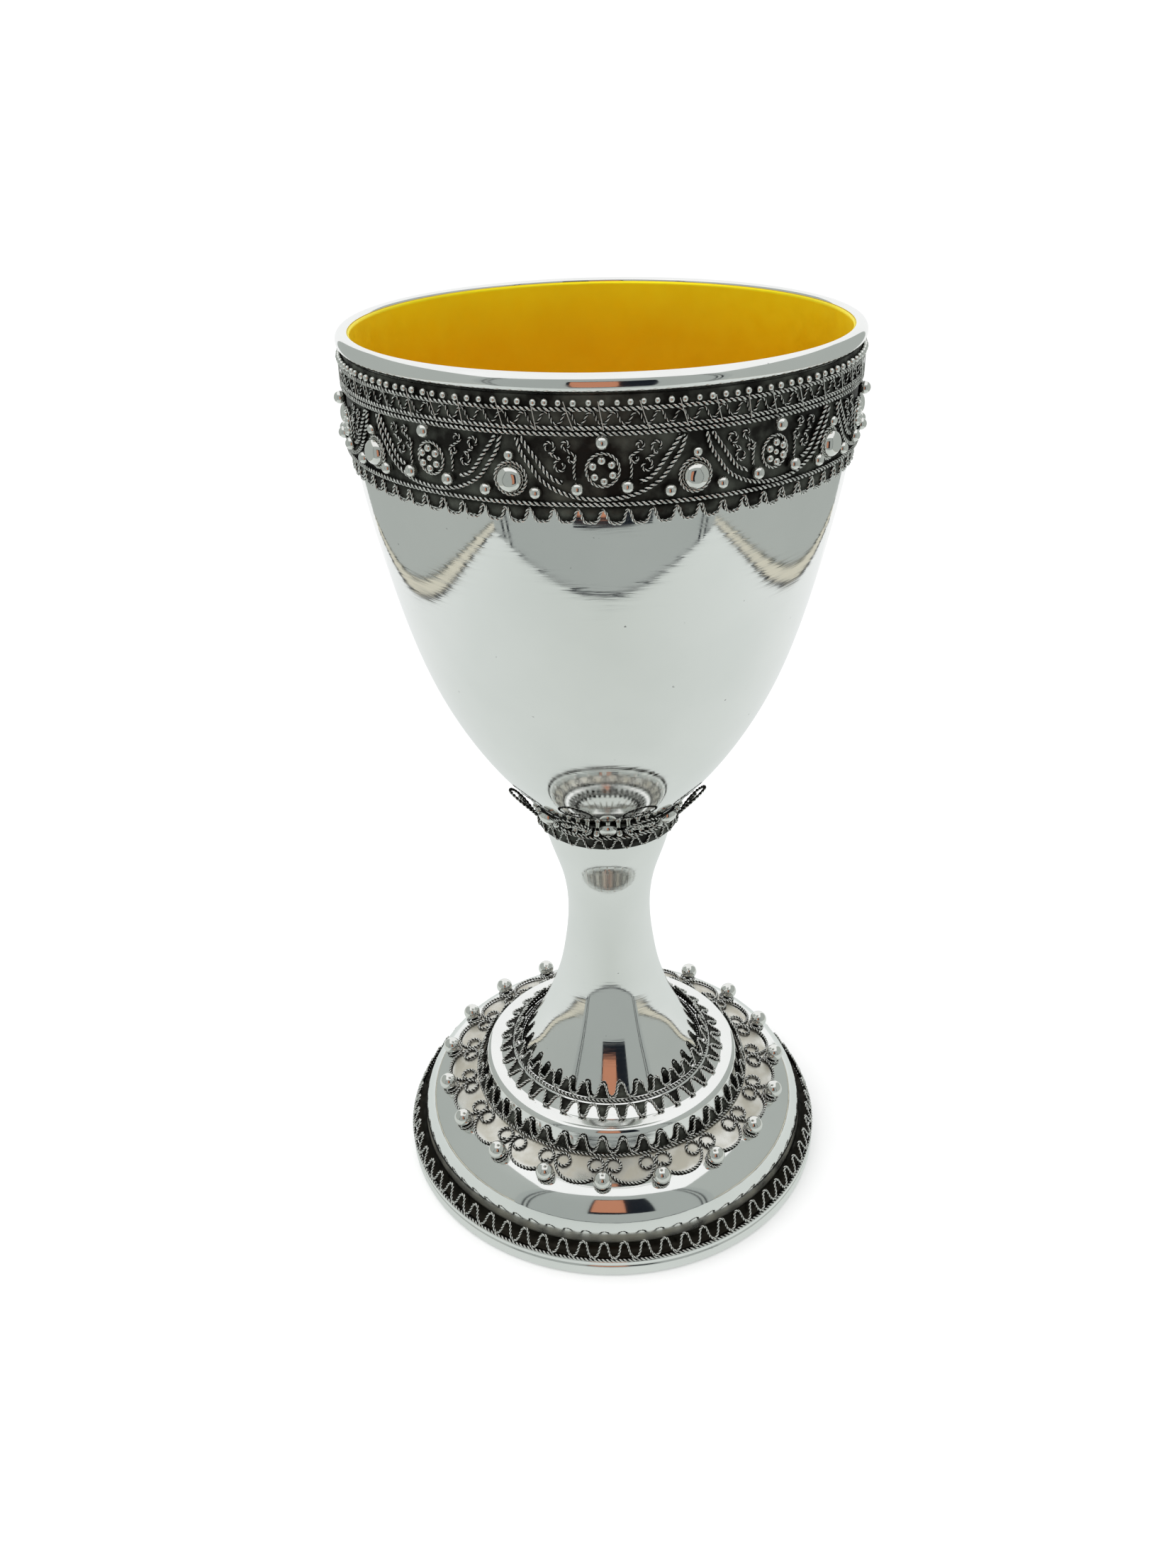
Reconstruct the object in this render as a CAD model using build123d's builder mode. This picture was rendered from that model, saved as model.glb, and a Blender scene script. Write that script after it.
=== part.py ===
from build123d import *
import math
import os

# Footed silver chalice with a gilt bowl and soldered filigree.
# Millimetres, +Z up, origin under the middle of the foot, viewer on the -Y side.
# The bowl, stem and foot are spun shells drawn together by a tie rod; every rope, granule, boss and
# gallery wire is a separate applied piece that rests on the shell behind it with a hair of clearance.

# ---- driving dimensions -------------------------------------------------------------------------
RIM_Z = 153.0             # top of the lip
LIP_BOTTOM_Z = 150.6
LIP_R = 37.7
LIP_ROLL = 0.6            # how far the lip's rounding carries in at the top and bottom
GILT_TOP_Z = 152.3
BAND_R = 36.6             # outer radius of the bowl behind the filigree band
BOWL_WALL = 0.75
GILT = 0.15               # gilding drawn as a thin skin
JOINT_Z = 72.0            # the bowl sits on the stem here, hidden by the calyx collar
FOOT_R = 39.3
CLEAR = 0.02              # hair gap between an applied piece and its neighbour

ROPE_D = 0.65             # twisted rope wire
GALLERY_D = 0.5           # thinner wire of the zigzag galleries
PLATE_T = 0.35            # dark backing plate of the band
PLATE_R = BAND_R + PLATE_T

SWAGS = 10                # swag, rosette and boss repeats round the band
SWAG_PITCH = 360.0 / SWAGS
FRONT = -90.0            # azimuth that faces the viewer, along -Y
TOP_GRANULES = 138
WAVES = 84
FRINGE_LOOPS = 74
ROSETTE_Z = 141.5
BOSS_Z = 140.2
BOSS_R = 1.8
NUT_R = 8.0               # opening of the step under the stem
DOME_CENTRE = (29.03, 6.67)  # radius and height about which the dome's shoulder is rounded
DOME_ARC_R = 7.4
DOME_SLOPE = 77.7            # the dome's top faces this many degrees above level
CALYX_REPEATS = 8
FOOT_SCROLLS = 19
FOOT_START = FRONT - 3.0     # azimuth of the foot's ball nearest the viewer

# heights of the band's rows
BAND_BOTTOM_Z = 136.8
BAND_TOP_Z = 150.5
ROPE_BOTTOM_Z = 137.2
ROPE_LOWER_Z = 145.95
ROPE_UPPER_Z = 146.65
ROPE_TOP_Z = 148.9

# spun outlines, as radius and height; each runs upwards
BOWL_OUTLINE = [(11.5, JOINT_Z), (12.0, 74.3), (14.6, 77.6), (18.5, 82.2), (22.4, 88.0),
                (28.3, 100.0), (32.0, 112.0), (34.7, 124.0), (36.2, 133.0), (BAND_R, 138.5)]
STEM_BASE_Z = 20.9        # the stem's foot stands on the step here
STEM_OUTLINE = [(17.4, STEM_BASE_Z), (15.9, 23.0), (13.5, 27.0), (11.55, 31.0), (10.1, 35.0),
                (9.1, 38.4), (8.2, 43.0), (7.35, 52.5), (8.3, 60.0), (10.4, 67.0), (11.5, JOINT_Z)]
STEM_WALL = 0.9
WASHER_TOP_Z = STEM_BASE_Z - 1.0
WASHER_R = 10.5
STEP_Z = 14.9             # the step stands on the dome here
STEP_R = 25.2
FLANGE_Z = 3.5            # top of the base ring
BOWL_FLOOR_Z = 76.4       # lowest point inside the bowl
BOWL_FLOOR_R = 6.0
BOWL_SOCKET_Z = 75.2      # the tie rod is brazed into the bowl's thick floor up to here
ROD_R = 2.0

os.makedirs("parts", exist_ok=True)


def inset(points, distance):
    """The outline moved towards the axis by distance, square to its own direction."""
    moved = []
    for index, (radius, height) in enumerate(points):
        before = points[max(index - 1, 0)]
        after = points[min(index + 1, len(points) - 1)]
        run = after[0] - before[0]
        rise = after[1] - before[1]
        length = math.hypot(run, rise)
        moved.append((radius - distance * rise / length, height + distance * run / length))
    return moved


def smooth(points, first, last):
    """Curve through the points that leaves along first and arrives along last."""
    return Spline(*points, tangents=(first, last), tangent_scalars=(1, 1))


def save(block, name):
    block.part.label = name
    export_step(block.part, f"parts/{name}.step")


def facing(radius, azimuth, height):
    """Plane square to the radius at an azimuth: local x runs round the object, local y runs up."""
    angle = math.radians(azimuth)
    outward = (math.cos(angle), math.sin(angle), 0)
    around = (-math.sin(angle), math.cos(angle), 0)
    place = (radius * outward[0], radius * outward[1], height)
    return Plane(origin=place, x_dir=around, z_dir=outward)


def rope_ring(name, radius, height, diameter=ROPE_D):
    with BuildPart() as ring:
        with BuildSketch(Plane.XZ):
            with Locations((radius, height)):
                Circle(diameter / 2)
        revolve(axis=Axis.Z)
    save(ring, name)


def granules(name, places, diameter):
    """Round granules at (radius, azimuth, height)."""
    centres = [facing(*place) for place in places]
    with BuildPart() as balls:
        with Locations(*centres):
            Sphere(diameter / 2)
    save(balls, name)


def around(radius, azimuth, height, tilt):
    """Like facing, with the plane's face turned upwards by tilt degrees."""
    angle = math.radians(azimuth)
    turn = math.radians(tilt)
    outward = Vector(math.cos(angle), math.sin(angle), 0)
    place = outward * radius + Vector(0, 0, height)
    face = outward * math.cos(turn) + Vector(0, 0, math.sin(turn))
    return Plane(origin=place, x_dir=(-math.sin(angle), math.cos(angle), 0), z_dir=face)


def gallery(name, radius, base_z, height, count, tilt=0.0, diameter=GALLERY_D):
    """A row of wire loops standing (or, with a negative height, hanging) from a ring; each is flat."""
    pitch = 2 * math.pi * radius / count
    foot = pitch / 2 - diameter / 2 - 0.05
    crown = pitch * 0.17
    start = math.copysign(diameter / 2, height)
    end = height - start
    planes = [around(radius, index * 360.0 / count, base_z, tilt) for index in range(count)]
    with BuildPart() as row:
        with BuildSketch(*planes):
            with BuildLine():
                Polyline((-foot, start), (-crown, end), (crown, end), (foot, start))
            trace(line_width=diameter)
        extrude(amount=diameter)
    save(row, name)


# ---- bowl, gilding and lip ----------------------------------------------------------------------
def cavity(depth):
    """Points of the bowl's inner surface, from its floor on the axis up to the straight wall."""
    wall = inset(BOWL_OUTLINE[3:], BOWL_WALL + depth)
    floor_z = BOWL_FLOOR_Z + depth
    top = (BAND_R - BOWL_WALL - depth, wall[-1][1])
    return [(0, floor_z), (BOWL_FLOOR_R, floor_z + 0.5), *wall[:-1], top]


def make_bowl():
    inner = cavity(0)
    inner_r = inner[-1][0]
    with BuildPart() as bowl:
        with BuildSketch(Plane.XZ):
            with BuildLine():
                outside = smooth(BOWL_OUTLINE, (0.1, 1), (0, 1))
                Line(outside @ 1, (BAND_R, LIP_BOTTOM_Z))
                Line((BAND_R, LIP_BOTTOM_Z), (inner_r, LIP_BOTTOM_Z))
                Line((inner_r, LIP_BOTTOM_Z), inner[-1])
                smooth(inner, (1, 0), (0, 1))
                Polyline((0, BOWL_FLOOR_Z), (0, BOWL_SOCKET_Z), (ROD_R, BOWL_SOCKET_Z), (ROD_R, JOINT_Z),
                         BOWL_OUTLINE[0])
            make_face()
        revolve(axis=Axis.Z)
    save(bowl, "bowl")


def make_gilt_lining():
    back = cavity(0)
    front = cavity(GILT)
    with BuildPart() as gilt_lining:
        with BuildSketch(Plane.XZ):
            with BuildLine():
                smooth(back, (1, 0), (0, 1))
                Polyline(back[-1], (back[-1][0], GILT_TOP_Z), (front[-1][0], GILT_TOP_Z), front[-1])
                smooth(front, (1, 0), (0, 1))
                Line(front[0], back[0])
            make_face()
        revolve(axis=Axis.Z)
    save(gilt_lining, "gilt_lining")


def make_lip_ring():
    """Rolled lip: one wide convex bead outside, flat on top and rounded into the bowl."""
    inner_r = BAND_R - BOWL_WALL
    outer_edge = LIP_R - LIP_ROLL
    middle_z = (LIP_BOTTOM_Z + RIM_Z) / 2
    bulge = LIP_ROLL * (1 - math.cos(math.radians(45)))
    with BuildPart() as lip_ring:
        with BuildSketch(Plane.XZ):
            with BuildLine():
                Line((inner_r, LIP_BOTTOM_Z), (outer_edge, LIP_BOTTOM_Z))
                ThreePointArc((outer_edge, LIP_BOTTOM_Z), (LIP_R, middle_z), (outer_edge, RIM_Z))
                Line((outer_edge, RIM_Z), (inner_r + LIP_ROLL, RIM_Z))
                ThreePointArc((inner_r + LIP_ROLL, RIM_Z), (inner_r + bulge, RIM_Z - bulge),
                              (inner_r, RIM_Z - LIP_ROLL))
                Line((inner_r, RIM_Z - LIP_ROLL), (inner_r, LIP_BOTTOM_Z))
            make_face()
        revolve(axis=Axis.Z)
    save(lip_ring, "lip_ring")


make_bowl()
make_gilt_lining()
make_lip_ring()


# ---- filigree band ------------------------------------------------------------------------------
def on_band(lift):
    """Radius at which a piece of half-thickness lift rests on the band plate."""
    return PLATE_R + lift + CLEAR


def swag_azimuths(offset=0.0):
    """Azimuth of every swag centre; half a pitch of offset gives the bosses between them."""
    return [FRONT + offset * SWAG_PITCH + index * SWAG_PITCH for index in range(SWAGS)]


def beside(azimuth, across, radius):
    """Azimuth of a place a given distance round the band from another azimuth."""
    return azimuth + math.degrees(across / radius)


def band_strip(name, paths, width, azimuths):
    """Wires cut to the band's curve: each path is drawn on a facing plane and pressed through."""
    inner_r = PLATE_R + CLEAR
    with BuildPart() as strip:
        with BuildSketch(*[facing(PLATE_R - 2.2, azimuth, 0) for azimuth in azimuths]):
            with BuildLine():
                for points in paths:
                    Spline(*points)
            trace(line_width=width)
        extrude(amount=4.0)
        with BuildSketch(Plane.XY.offset(BAND_BOTTOM_Z)):
            Circle(inner_r + width)
            Circle(inner_r, mode=Mode.SUBTRACT)
        extrude(amount=BAND_TOP_Z - BAND_BOTTOM_Z, mode=Mode.INTERSECT)
    save(strip, name)


def mirrored(points):
    return [(-across, height) for across, height in points]


with BuildPart() as band_plate:
    with BuildSketch(Plane.XY.offset(BAND_BOTTOM_Z)):
        Circle(PLATE_R)
        Circle(BAND_R, mode=Mode.SUBTRACT)
    extrude(amount=BAND_TOP_Z - BAND_BOTTOM_Z)
save(band_plate, "band_plate")

rope_ring("band_rope_top", on_band(ROPE_D / 2), ROPE_TOP_Z)
rope_ring("band_rope_upper", on_band(ROPE_D / 2), ROPE_UPPER_Z)
rope_ring("band_rope_lower", on_band(ROPE_D / 2), ROPE_LOWER_Z)
rope_ring("band_rope_bottom", on_band(ROPE_D / 2), ROPE_BOTTOM_Z)

TOP_GRANULE_D = 0.92
granule_z = ROPE_TOP_Z + (ROPE_D + TOP_GRANULE_D) / 2 + CLEAR
granule_azimuths = [index * 360 / TOP_GRANULES for index in range(TOP_GRANULES)]
granules("band_top_granules",
         [(on_band(TOP_GRANULE_D / 2), azimuth, granule_z) for azimuth in granule_azimuths],
         TOP_GRANULE_D)

wave_z = ROPE_UPPER_Z + ROPE_D / 2 + CLEAR
wave_height = ROPE_TOP_Z - ROPE_UPPER_Z - ROPE_D - 2 * CLEAR
gallery("band_wave", PLATE_R + 0.06, wave_z, wave_height, WAVES, diameter=0.4)
gallery("band_fringe", BAND_R + 0.08, BAND_BOTTOM_Z - CLEAR, -2.2, FRINGE_LOOPS)

outer_arm = [(-10.4, 145.1), (-8.9, 142.1), (-7.4, 140.2), (-4.4, 138.45), (0, 137.95),
             (4.4, 138.45), (7.4, 140.2), (8.9, 142.1), (10.4, 145.1)]
inner_arm = [(-9.6, 145.1), (-7.9, 142.9), (-6.3, 140.9), (-4.5, 139.95)]
band_strip("swag_outer_ropes", [outer_arm], ROPE_D, swag_azimuths())
band_strip("swag_inner_ropes", [inner_arm, mirrored(inner_arm)], ROPE_D, swag_azimuths())

scroll = [(-1.9, 0.4), (-1.1, 1.4), (-0.2, 0.5), (0.1, -0.5), (1.1, -0.5), (1.5, -1.5), (0.6, -2.2)]
with BuildPart() as swag_scrolls:
    for side in (-1, 1):
        azimuths = [beside(azimuth, side * 5.6, PLATE_R) for azimuth in swag_azimuths()]
        with BuildSketch(*[facing(PLATE_R + 0.08, azimuth, 143.5) for azimuth in azimuths]):
            with BuildLine():
                Spline(*[(-side * across, height) for across, height in scroll])
            trace(line_width=0.42)
        extrude(amount=0.45)
save(swag_scrolls, "swag_scrolls")


def ring_row(name, radius_to_centre, azimuths, height, ring_r, wire_d):
    """Small wire rings lying flat against the band."""
    with BuildPart() as rings:
        with BuildSketch(*[facing(radius_to_centre, azimuth, height) for azimuth in azimuths]):
            Circle(ring_r + wire_d / 2)
            Circle(ring_r - wire_d / 2, mode=Mode.SUBTRACT)
        extrude(amount=wire_d)
    save(rings, name)


ring_row("rosette_rings", PLATE_R + 0.05, swag_azimuths(), ROSETTE_Z, 2.05, 0.5)
ROSETTE_GRANULE_D = 1.0
PETAL_R = 1.25            # from a rosette's middle granule to the six round it
rosette_lift = on_band(ROSETTE_GRANULE_D / 2)
rosette_places = []
for azimuth in swag_azimuths():
    rosette_places.append((rosette_lift, azimuth, ROSETTE_Z))
    for petal in range(6):
        angle = math.radians(30 + 60 * petal)
        petal_azimuth = beside(azimuth, PETAL_R * math.cos(angle), rosette_lift)
        rosette_places.append((rosette_lift, petal_azimuth, ROSETTE_Z + PETAL_R * math.sin(angle)))
granules("rosette_granules", rosette_places, ROSETTE_GRANULE_D)

swag_places = []
for azimuth in swag_azimuths():
    swag_places.append((PLATE_R + 1.21, azimuth, 145.1))
    for side in (-1, 1):
        swag_places.append((on_band(0.86), beside(azimuth, side * 3.15, PLATE_R + 0.8), 139.4))
granules("swag_granules", swag_places, 1.7)

with BuildPart() as boss_domes:
    with BuildSketch(*[facing(PLATE_R + 0.06, azimuth, BOSS_Z) for azimuth in swag_azimuths(0.5)]):
        Circle(BOSS_R)
    extrude(amount=1.5, taper=28)
    outermost = boss_domes.faces().sort_by(lambda face: math.hypot(face.center().X, face.center().Y))
    fillet(outermost[-SWAGS:].edges(), 0.5)
save(boss_domes, "boss_domes")
ring_row("boss_collars", PLATE_R + 0.07, swag_azimuths(0.5), BOSS_Z, BOSS_R + 0.3, 0.45)

boss_places = []
for azimuth in swag_azimuths(0.5):
    boss_places.append((on_band(0.7), azimuth, BOSS_Z + 3.05))
    for side in (-1, 1):
        boss_places.append((on_band(0.7), beside(azimuth, side * 3.3, PLATE_R + 0.7), BOSS_Z - 1.45))
granules("boss_granules", boss_places, 1.38)


# ---- calyx at the joint of bowl and stem ---------------------------------------------------------
collar_r = 12.15
with BuildPart() as calyx_collar:
    with BuildSketch(Plane.XZ):
        with BuildLine():
            Polyline((11.6, 70.7), (collar_r, 70.7), (collar_r, 73.4), (12.0, 73.4), (11.6, 72.2),
                     close=True)
        make_face()
    revolve(axis=Axis.Z)
save(calyx_collar, "calyx_collar")
gallery("calyx_gallery", collar_r + 0.14, 70.8, 1.9, 25, diameter=0.4)
rope_ring("calyx_rope", collar_r + 0.3 + CLEAR, 73.05, 0.55)
granules("calyx_granules", [(12.75, index * 360 / 42, 73.95) for index in range(42)], 1.1)


def calyx_plane(repeat, radius=12.9, height=74.4, slope=50.0):
    """Plane of a petal: local x runs round the bowl, local y runs up and outwards along it."""
    angle = math.radians(FRONT + repeat * 360 / CALYX_REPEATS)
    rise = math.radians(slope)
    outward = Vector(math.cos(angle), math.sin(angle), 0)
    around = Vector(-math.sin(angle), math.cos(angle), 0)
    along = outward * math.cos(rise) + Vector(0, 0, math.sin(rise))
    return Plane(origin=outward * radius + Vector(0, 0, height), x_dir=around, z_dir=around.cross(along))


petal_planes = [calyx_plane(index + 0.5) for index in range(CALYX_REPEATS)]
with BuildPart() as calyx_petals:
    with BuildSketch(*petal_planes):
        with BuildLine():
            Spline((-0.5, 0.8), (-3.0, 3.0), (-2.4, 5.3), (0, 6.5), (2.4, 5.3), (3.0, 3.0), (0.5, 0.8))
        trace(line_width=0.5)
    extrude(amount=0.5)
save(calyx_petals, "calyx_petals")
with BuildPart() as calyx_curls:
    with BuildSketch(*petal_planes):
        with Locations((-1.1, 3.3), (1.1, 3.3)):
            Circle(0.95)
            Circle(0.5, mode=Mode.SUBTRACT)
    extrude(amount=0.4)
save(calyx_curls, "calyx_curls")

with BuildPart() as calyx_buttons:
    with BuildSketch(*[calyx_plane(index, radius=14.1, height=75.9) for index in range(CALYX_REPEATS)]):
        Circle(1.4)
    extrude(amount=1.3, taper=30)
save(calyx_buttons, "calyx_buttons")


# ---- stem, step, dome and base ring --------------------------------------------------------------
def make_stem():
    inner = inset(STEM_OUTLINE, STEM_WALL)
    with BuildPart() as stem:
        with BuildSketch(Plane.XZ):
            with BuildLine():
                smooth(STEM_OUTLINE, (-0.57, 0.82), (0.25, 1))
                Polyline(STEM_OUTLINE[-1], (ROD_R + CLEAR, JOINT_Z), (ROD_R + CLEAR, JOINT_Z - 1.5),
                         inner[-2])
                smooth(inner[1:-1], (-0.55, 0.84), (0.3, 1))
                Polyline(inner[1], (STEM_OUTLINE[0][0] - 1.2, STEM_BASE_Z), STEM_OUTLINE[0])
            make_face()
        revolve(axis=Axis.Z)
    save(stem, "stem")


def make_foot_step():
    """Spun step: flat under the stem, a slope for the hanging loops, a flat ring and a leaning side."""
    with BuildPart() as foot_step:
        with BuildSketch(Plane.XZ):
            with BuildLine():
                Line((STEP_R, STEP_Z), (23.95, 18.2))
                ThreePointArc((23.95, 18.2), (23.6, 18.95), (22.7, 19.25))
                Polyline((22.7, 19.25), (21.1, 19.25), (18.7, STEM_BASE_Z), (NUT_R, STEM_BASE_Z),
                         (NUT_R, WASHER_TOP_Z), (18.4, WASHER_TOP_Z), (20.8, 18.35), (22.4, 18.35),
                         (23.05, 17.9), (24.2, STEP_Z), (STEP_R, STEP_Z))
            make_face()
        revolve(axis=Axis.Z)
    save(foot_step, "foot_step")


def dome_arc(angle, lift=0.0):
    """Radius and height on the dome's shoulder where it faces angle degrees above level."""
    turn = math.radians(angle)
    reach = DOME_ARC_R + lift
    return (DOME_CENTRE[0] + reach * math.cos(turn), DOME_CENTRE[1] + reach * math.sin(turn))


def make_foot_dome():
    """Spun dome: a hollow neck, a round shoulder, a gentle slope and the step's flat seat."""
    wall = -0.9
    with BuildPart() as foot_dome:
        with BuildSketch(Plane.XZ):
            with BuildLine():
                Line((38.6, FLANGE_Z), (38.6, 3.75))
                ThreePointArc((38.6, 3.75), (37.05, 4.5), (36.45, 6.0))
                Line((36.45, 6.0), dome_arc(8))
                ThreePointArc(dome_arc(8), dome_arc(43), dome_arc(DOME_SLOPE))
                Polyline(dome_arc(DOME_SLOPE), (26.0, STEP_Z), (22.6, STEP_Z), (22.6, STEP_Z + wall),
                         (25.9, STEP_Z + wall), dome_arc(DOME_SLOPE, wall))
                ThreePointArc(dome_arc(DOME_SLOPE, wall), dome_arc(43, wall), dome_arc(8, wall))
                Polyline(dome_arc(8, wall), (35.55, 5.9), (36.2, 4.5), (37.1, FLANGE_Z),
                         (38.6, FLANGE_Z))
            make_face()
        revolve(axis=Axis.Z)
    save(foot_dome, "foot_dome")


def make_base_ring():
    """Solid moulding the whole object stands on, with a fine groove above its rounded edge."""
    with BuildPart() as base_ring:
        with BuildSketch(Plane.XZ):
            with BuildLine():
                Line((36.8, 0), (38.9, 0))
                ThreePointArc((38.9, 0), (FOOT_R, 1.2), (39.15, 2.35))
                Line((39.15, 2.35), (38.95, 2.5))
                ThreePointArc((38.95, 2.5), (39.2, 2.85), (39.15, 3.3))
                Line((39.15, 3.3), (38.9, FLANGE_Z))
                Line((38.9, FLANGE_Z), (36.8, FLANGE_Z))
                Line((36.8, FLANGE_Z), (36.8, 0))
            make_face()
        revolve(axis=Axis.Z)
    save(base_ring, "base_ring")


make_stem()
make_foot_step()
make_foot_dome()
make_base_ring()

# ---- tie rod that draws bowl, stem and foot together ----------------------------------------------
NUT_TOP_Z = WASHER_TOP_Z - 1.0
NUT_BOTTOM_Z = NUT_TOP_Z - 3.0

with BuildPart() as tie_rod:
    with BuildSketch(Plane.XY.offset(NUT_BOTTOM_Z - 1.0)):
        Circle(ROD_R)
    extrude(amount=BOWL_SOCKET_Z - NUT_BOTTOM_Z + 1.0)
save(tie_rod, "tie_rod")

with BuildPart() as tie_washer:
    with BuildSketch(Plane.XY.offset(NUT_TOP_Z)):
        Circle(WASHER_R)
        Circle(ROD_R + CLEAR, mode=Mode.SUBTRACT)
    extrude(amount=WASHER_TOP_Z - NUT_TOP_Z)
save(tie_washer, "tie_washer")

with BuildPart() as tie_nut:
    with BuildSketch(Plane.XY.offset(NUT_BOTTOM_Z)):
        RegularPolygon(radius=4.0, side_count=6)
        Circle(ROD_R + CLEAR, mode=Mode.SUBTRACT)
    extrude(amount=NUT_TOP_Z - NUT_BOTTOM_Z)
save(tie_nut, "tie_nut")

# ---- filigree of the foot ------------------------------------------------------------------------
rope_ring("stem_rope", 18.45, STEM_BASE_Z + ROPE_D / 2 + CLEAR)
gallery("stem_gallery_upper", 18.15, STEM_BASE_Z + ROPE_D + 2 * CLEAR, 2.75, 32, tilt=33)
gallery("stem_gallery_lower", 19.0, 20.74, -2.45, 36, tilt=55.5)

rope_ring("step_rope", 25.75, STEP_Z + ROPE_D / 2 + CLEAR)
gallery("step_gallery", 25.45, STEP_Z + ROPE_D + 2 * CLEAR, 2.6, 43, tilt=21)

rope_ring("edge_rope", 39.05, FLANGE_Z + ROPE_D / 2 + CLEAR)
gallery("edge_gallery", 38.8, FLANGE_Z + ROPE_D + 2 * CLEAR, 2.9, 67, tilt=25)

SCROLL_PITCH = 360 / FOOT_SCROLLS
SCROLL_R = 29.2
SCROLL_Z = STEP_Z - (SCROLL_R - 26.0) / math.tan(math.radians(DOME_SLOPE)) + 0.05
half_scroll = [(0, -2.1), (2.3, -1.65), (3.75, -0.35), (4.2, 1.2), (3.85, 2.35), (3.0, 2.8),
               (2.15, 2.2), (2.1, 1.2), (2.9, 0.85)]
scroll_azimuths = [FOOT_START + (index + 0.5) * SCROLL_PITCH for index in range(FOOT_SCROLLS)]
with BuildPart() as foot_scrolls:
    with BuildSketch(*[around(SCROLL_R, azimuth, SCROLL_Z, DOME_SLOPE) for azimuth in scroll_azimuths]):
        with BuildLine():
            Spline(*half_scroll, tangents=((1, 0), (1, 0.3)), tangent_scalars=(1, 1))
            Spline(*mirrored(half_scroll), tangents=((-1, 0), (-1, 0.3)), tangent_scalars=(1, 1))
        trace(line_width=0.55)
    extrude(amount=0.55)
save(foot_scrolls, "foot_scrolls")

BALL_R = 1.62
BALL_TILT = 72.5
ball_azimuths = [FOOT_START + index * SCROLL_PITCH for index in range(FOOT_SCROLLS)]
ball_r, ball_z = dome_arc(BALL_TILT, BALL_R + CLEAR)
granules("foot_balls", [(ball_r, azimuth, ball_z) for azimuth in ball_azimuths], 2 * BALL_R)
seat_r, seat_z = dome_arc(BALL_TILT, 0.03)
with BuildPart() as ball_collars:
    with BuildSketch(*[around(seat_r, azimuth, seat_z, BALL_TILT) for azimuth in ball_azimuths]):
        Circle(1.5)
        Circle(1.12, mode=Mode.SUBTRACT)
    extrude(amount=0.4)
save(ball_collars, "ball_collars")
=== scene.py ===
import math
import random

import bpy
import numpy as np
from mathutils import Matrix, Vector


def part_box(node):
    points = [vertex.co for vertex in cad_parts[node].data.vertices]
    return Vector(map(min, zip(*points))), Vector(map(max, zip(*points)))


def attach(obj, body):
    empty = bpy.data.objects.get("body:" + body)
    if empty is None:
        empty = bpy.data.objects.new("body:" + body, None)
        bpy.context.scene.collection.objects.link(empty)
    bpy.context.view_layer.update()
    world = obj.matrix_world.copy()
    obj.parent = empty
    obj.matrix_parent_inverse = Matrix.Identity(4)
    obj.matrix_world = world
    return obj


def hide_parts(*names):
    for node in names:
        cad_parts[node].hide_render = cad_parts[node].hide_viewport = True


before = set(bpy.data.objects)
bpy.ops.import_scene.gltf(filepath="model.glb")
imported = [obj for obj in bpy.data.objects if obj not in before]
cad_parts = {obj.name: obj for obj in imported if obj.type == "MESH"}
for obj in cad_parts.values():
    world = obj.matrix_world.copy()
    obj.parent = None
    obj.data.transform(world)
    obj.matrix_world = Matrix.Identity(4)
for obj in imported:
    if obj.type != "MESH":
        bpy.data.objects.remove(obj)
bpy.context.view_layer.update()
MM = 0.001
FRONT = -90.0                 # azimuth of the side that faces the camera
SEGMENTS = 192                # facets round a spun piece
dice = random.Random(11)

# ---- sizes in millimetres, the same as the CAD part's ---------------------------------------------
RIM_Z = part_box("lip_ring")[1].z / MM
LIP_BOTTOM_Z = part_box("lip_ring")[0].z / MM
BAND_R = 36.6
BOWL_WALL = 0.75
GILT = 0.15                   # thickness of the gilding's skin
JOINT_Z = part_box("bowl")[0].z / MM
PLATE_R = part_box("band_plate")[1].x / MM
FOOT_R = 39.3
ROPE_D = 0.65
ROPE_PITCH = 1.5              # length in which a strand goes once round
ROPE_LIFT = 0.34              # from a seat to the middle of the rope soldered to it
GALLERY_LIFT = 0.7            # from a seat, over its rope, to the foot of a gallery
SWAGS = 10
SWAG_PITCH = 360.0 / SWAGS
CALYX_REPEATS = 8
FOOT_SCROLLS = 19
FOOT_START = FRONT - 3.0      # azimuth of the ball of the foot nearest the viewer
TOP_GRANULES = 138
ROSETTE_Z = 141.5
BOSS_Z = 140.2
BOSS_R = 1.8
DOME_CENTRE = (29.03, 6.67)   # radius and height about which the dome's shoulder is rounded
DOME_ARC_R = 7.4
DOME_SLOPE = 77.7             # the dome's top faces this many degrees above level
SHELL_WALL = 0.9              # thickness of the dome's metal
ROD_HOLE_R = 2.02
STEP_R = 25.2
STEP_Z = 14.9
STEM_BASE_Z = 20.9
FLANGE_Z = 3.5
BOWL_FLOOR_Z = 76.4
BOWL_FLOOR_R = 6.0

BOWL_OUTLINE = [(11.5, JOINT_Z), (12.0, 74.3), (14.6, 77.6), (18.5, 82.2), (22.4, 88.0),
                (28.3, 100.0), (32.0, 112.0), (34.7, 124.0), (36.2, 133.0), (BAND_R, 138.5)]
STEM_OUTLINE = [(17.4, STEM_BASE_Z), (15.9, 23.0), (13.5, 27.0), (11.55, 31.0), (10.1, 35.0),
                (9.1, 38.4), (8.2, 43.0), (7.35, 52.5), (8.3, 60.0), (10.4, 67.0), (11.5, JOINT_Z)]


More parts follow.
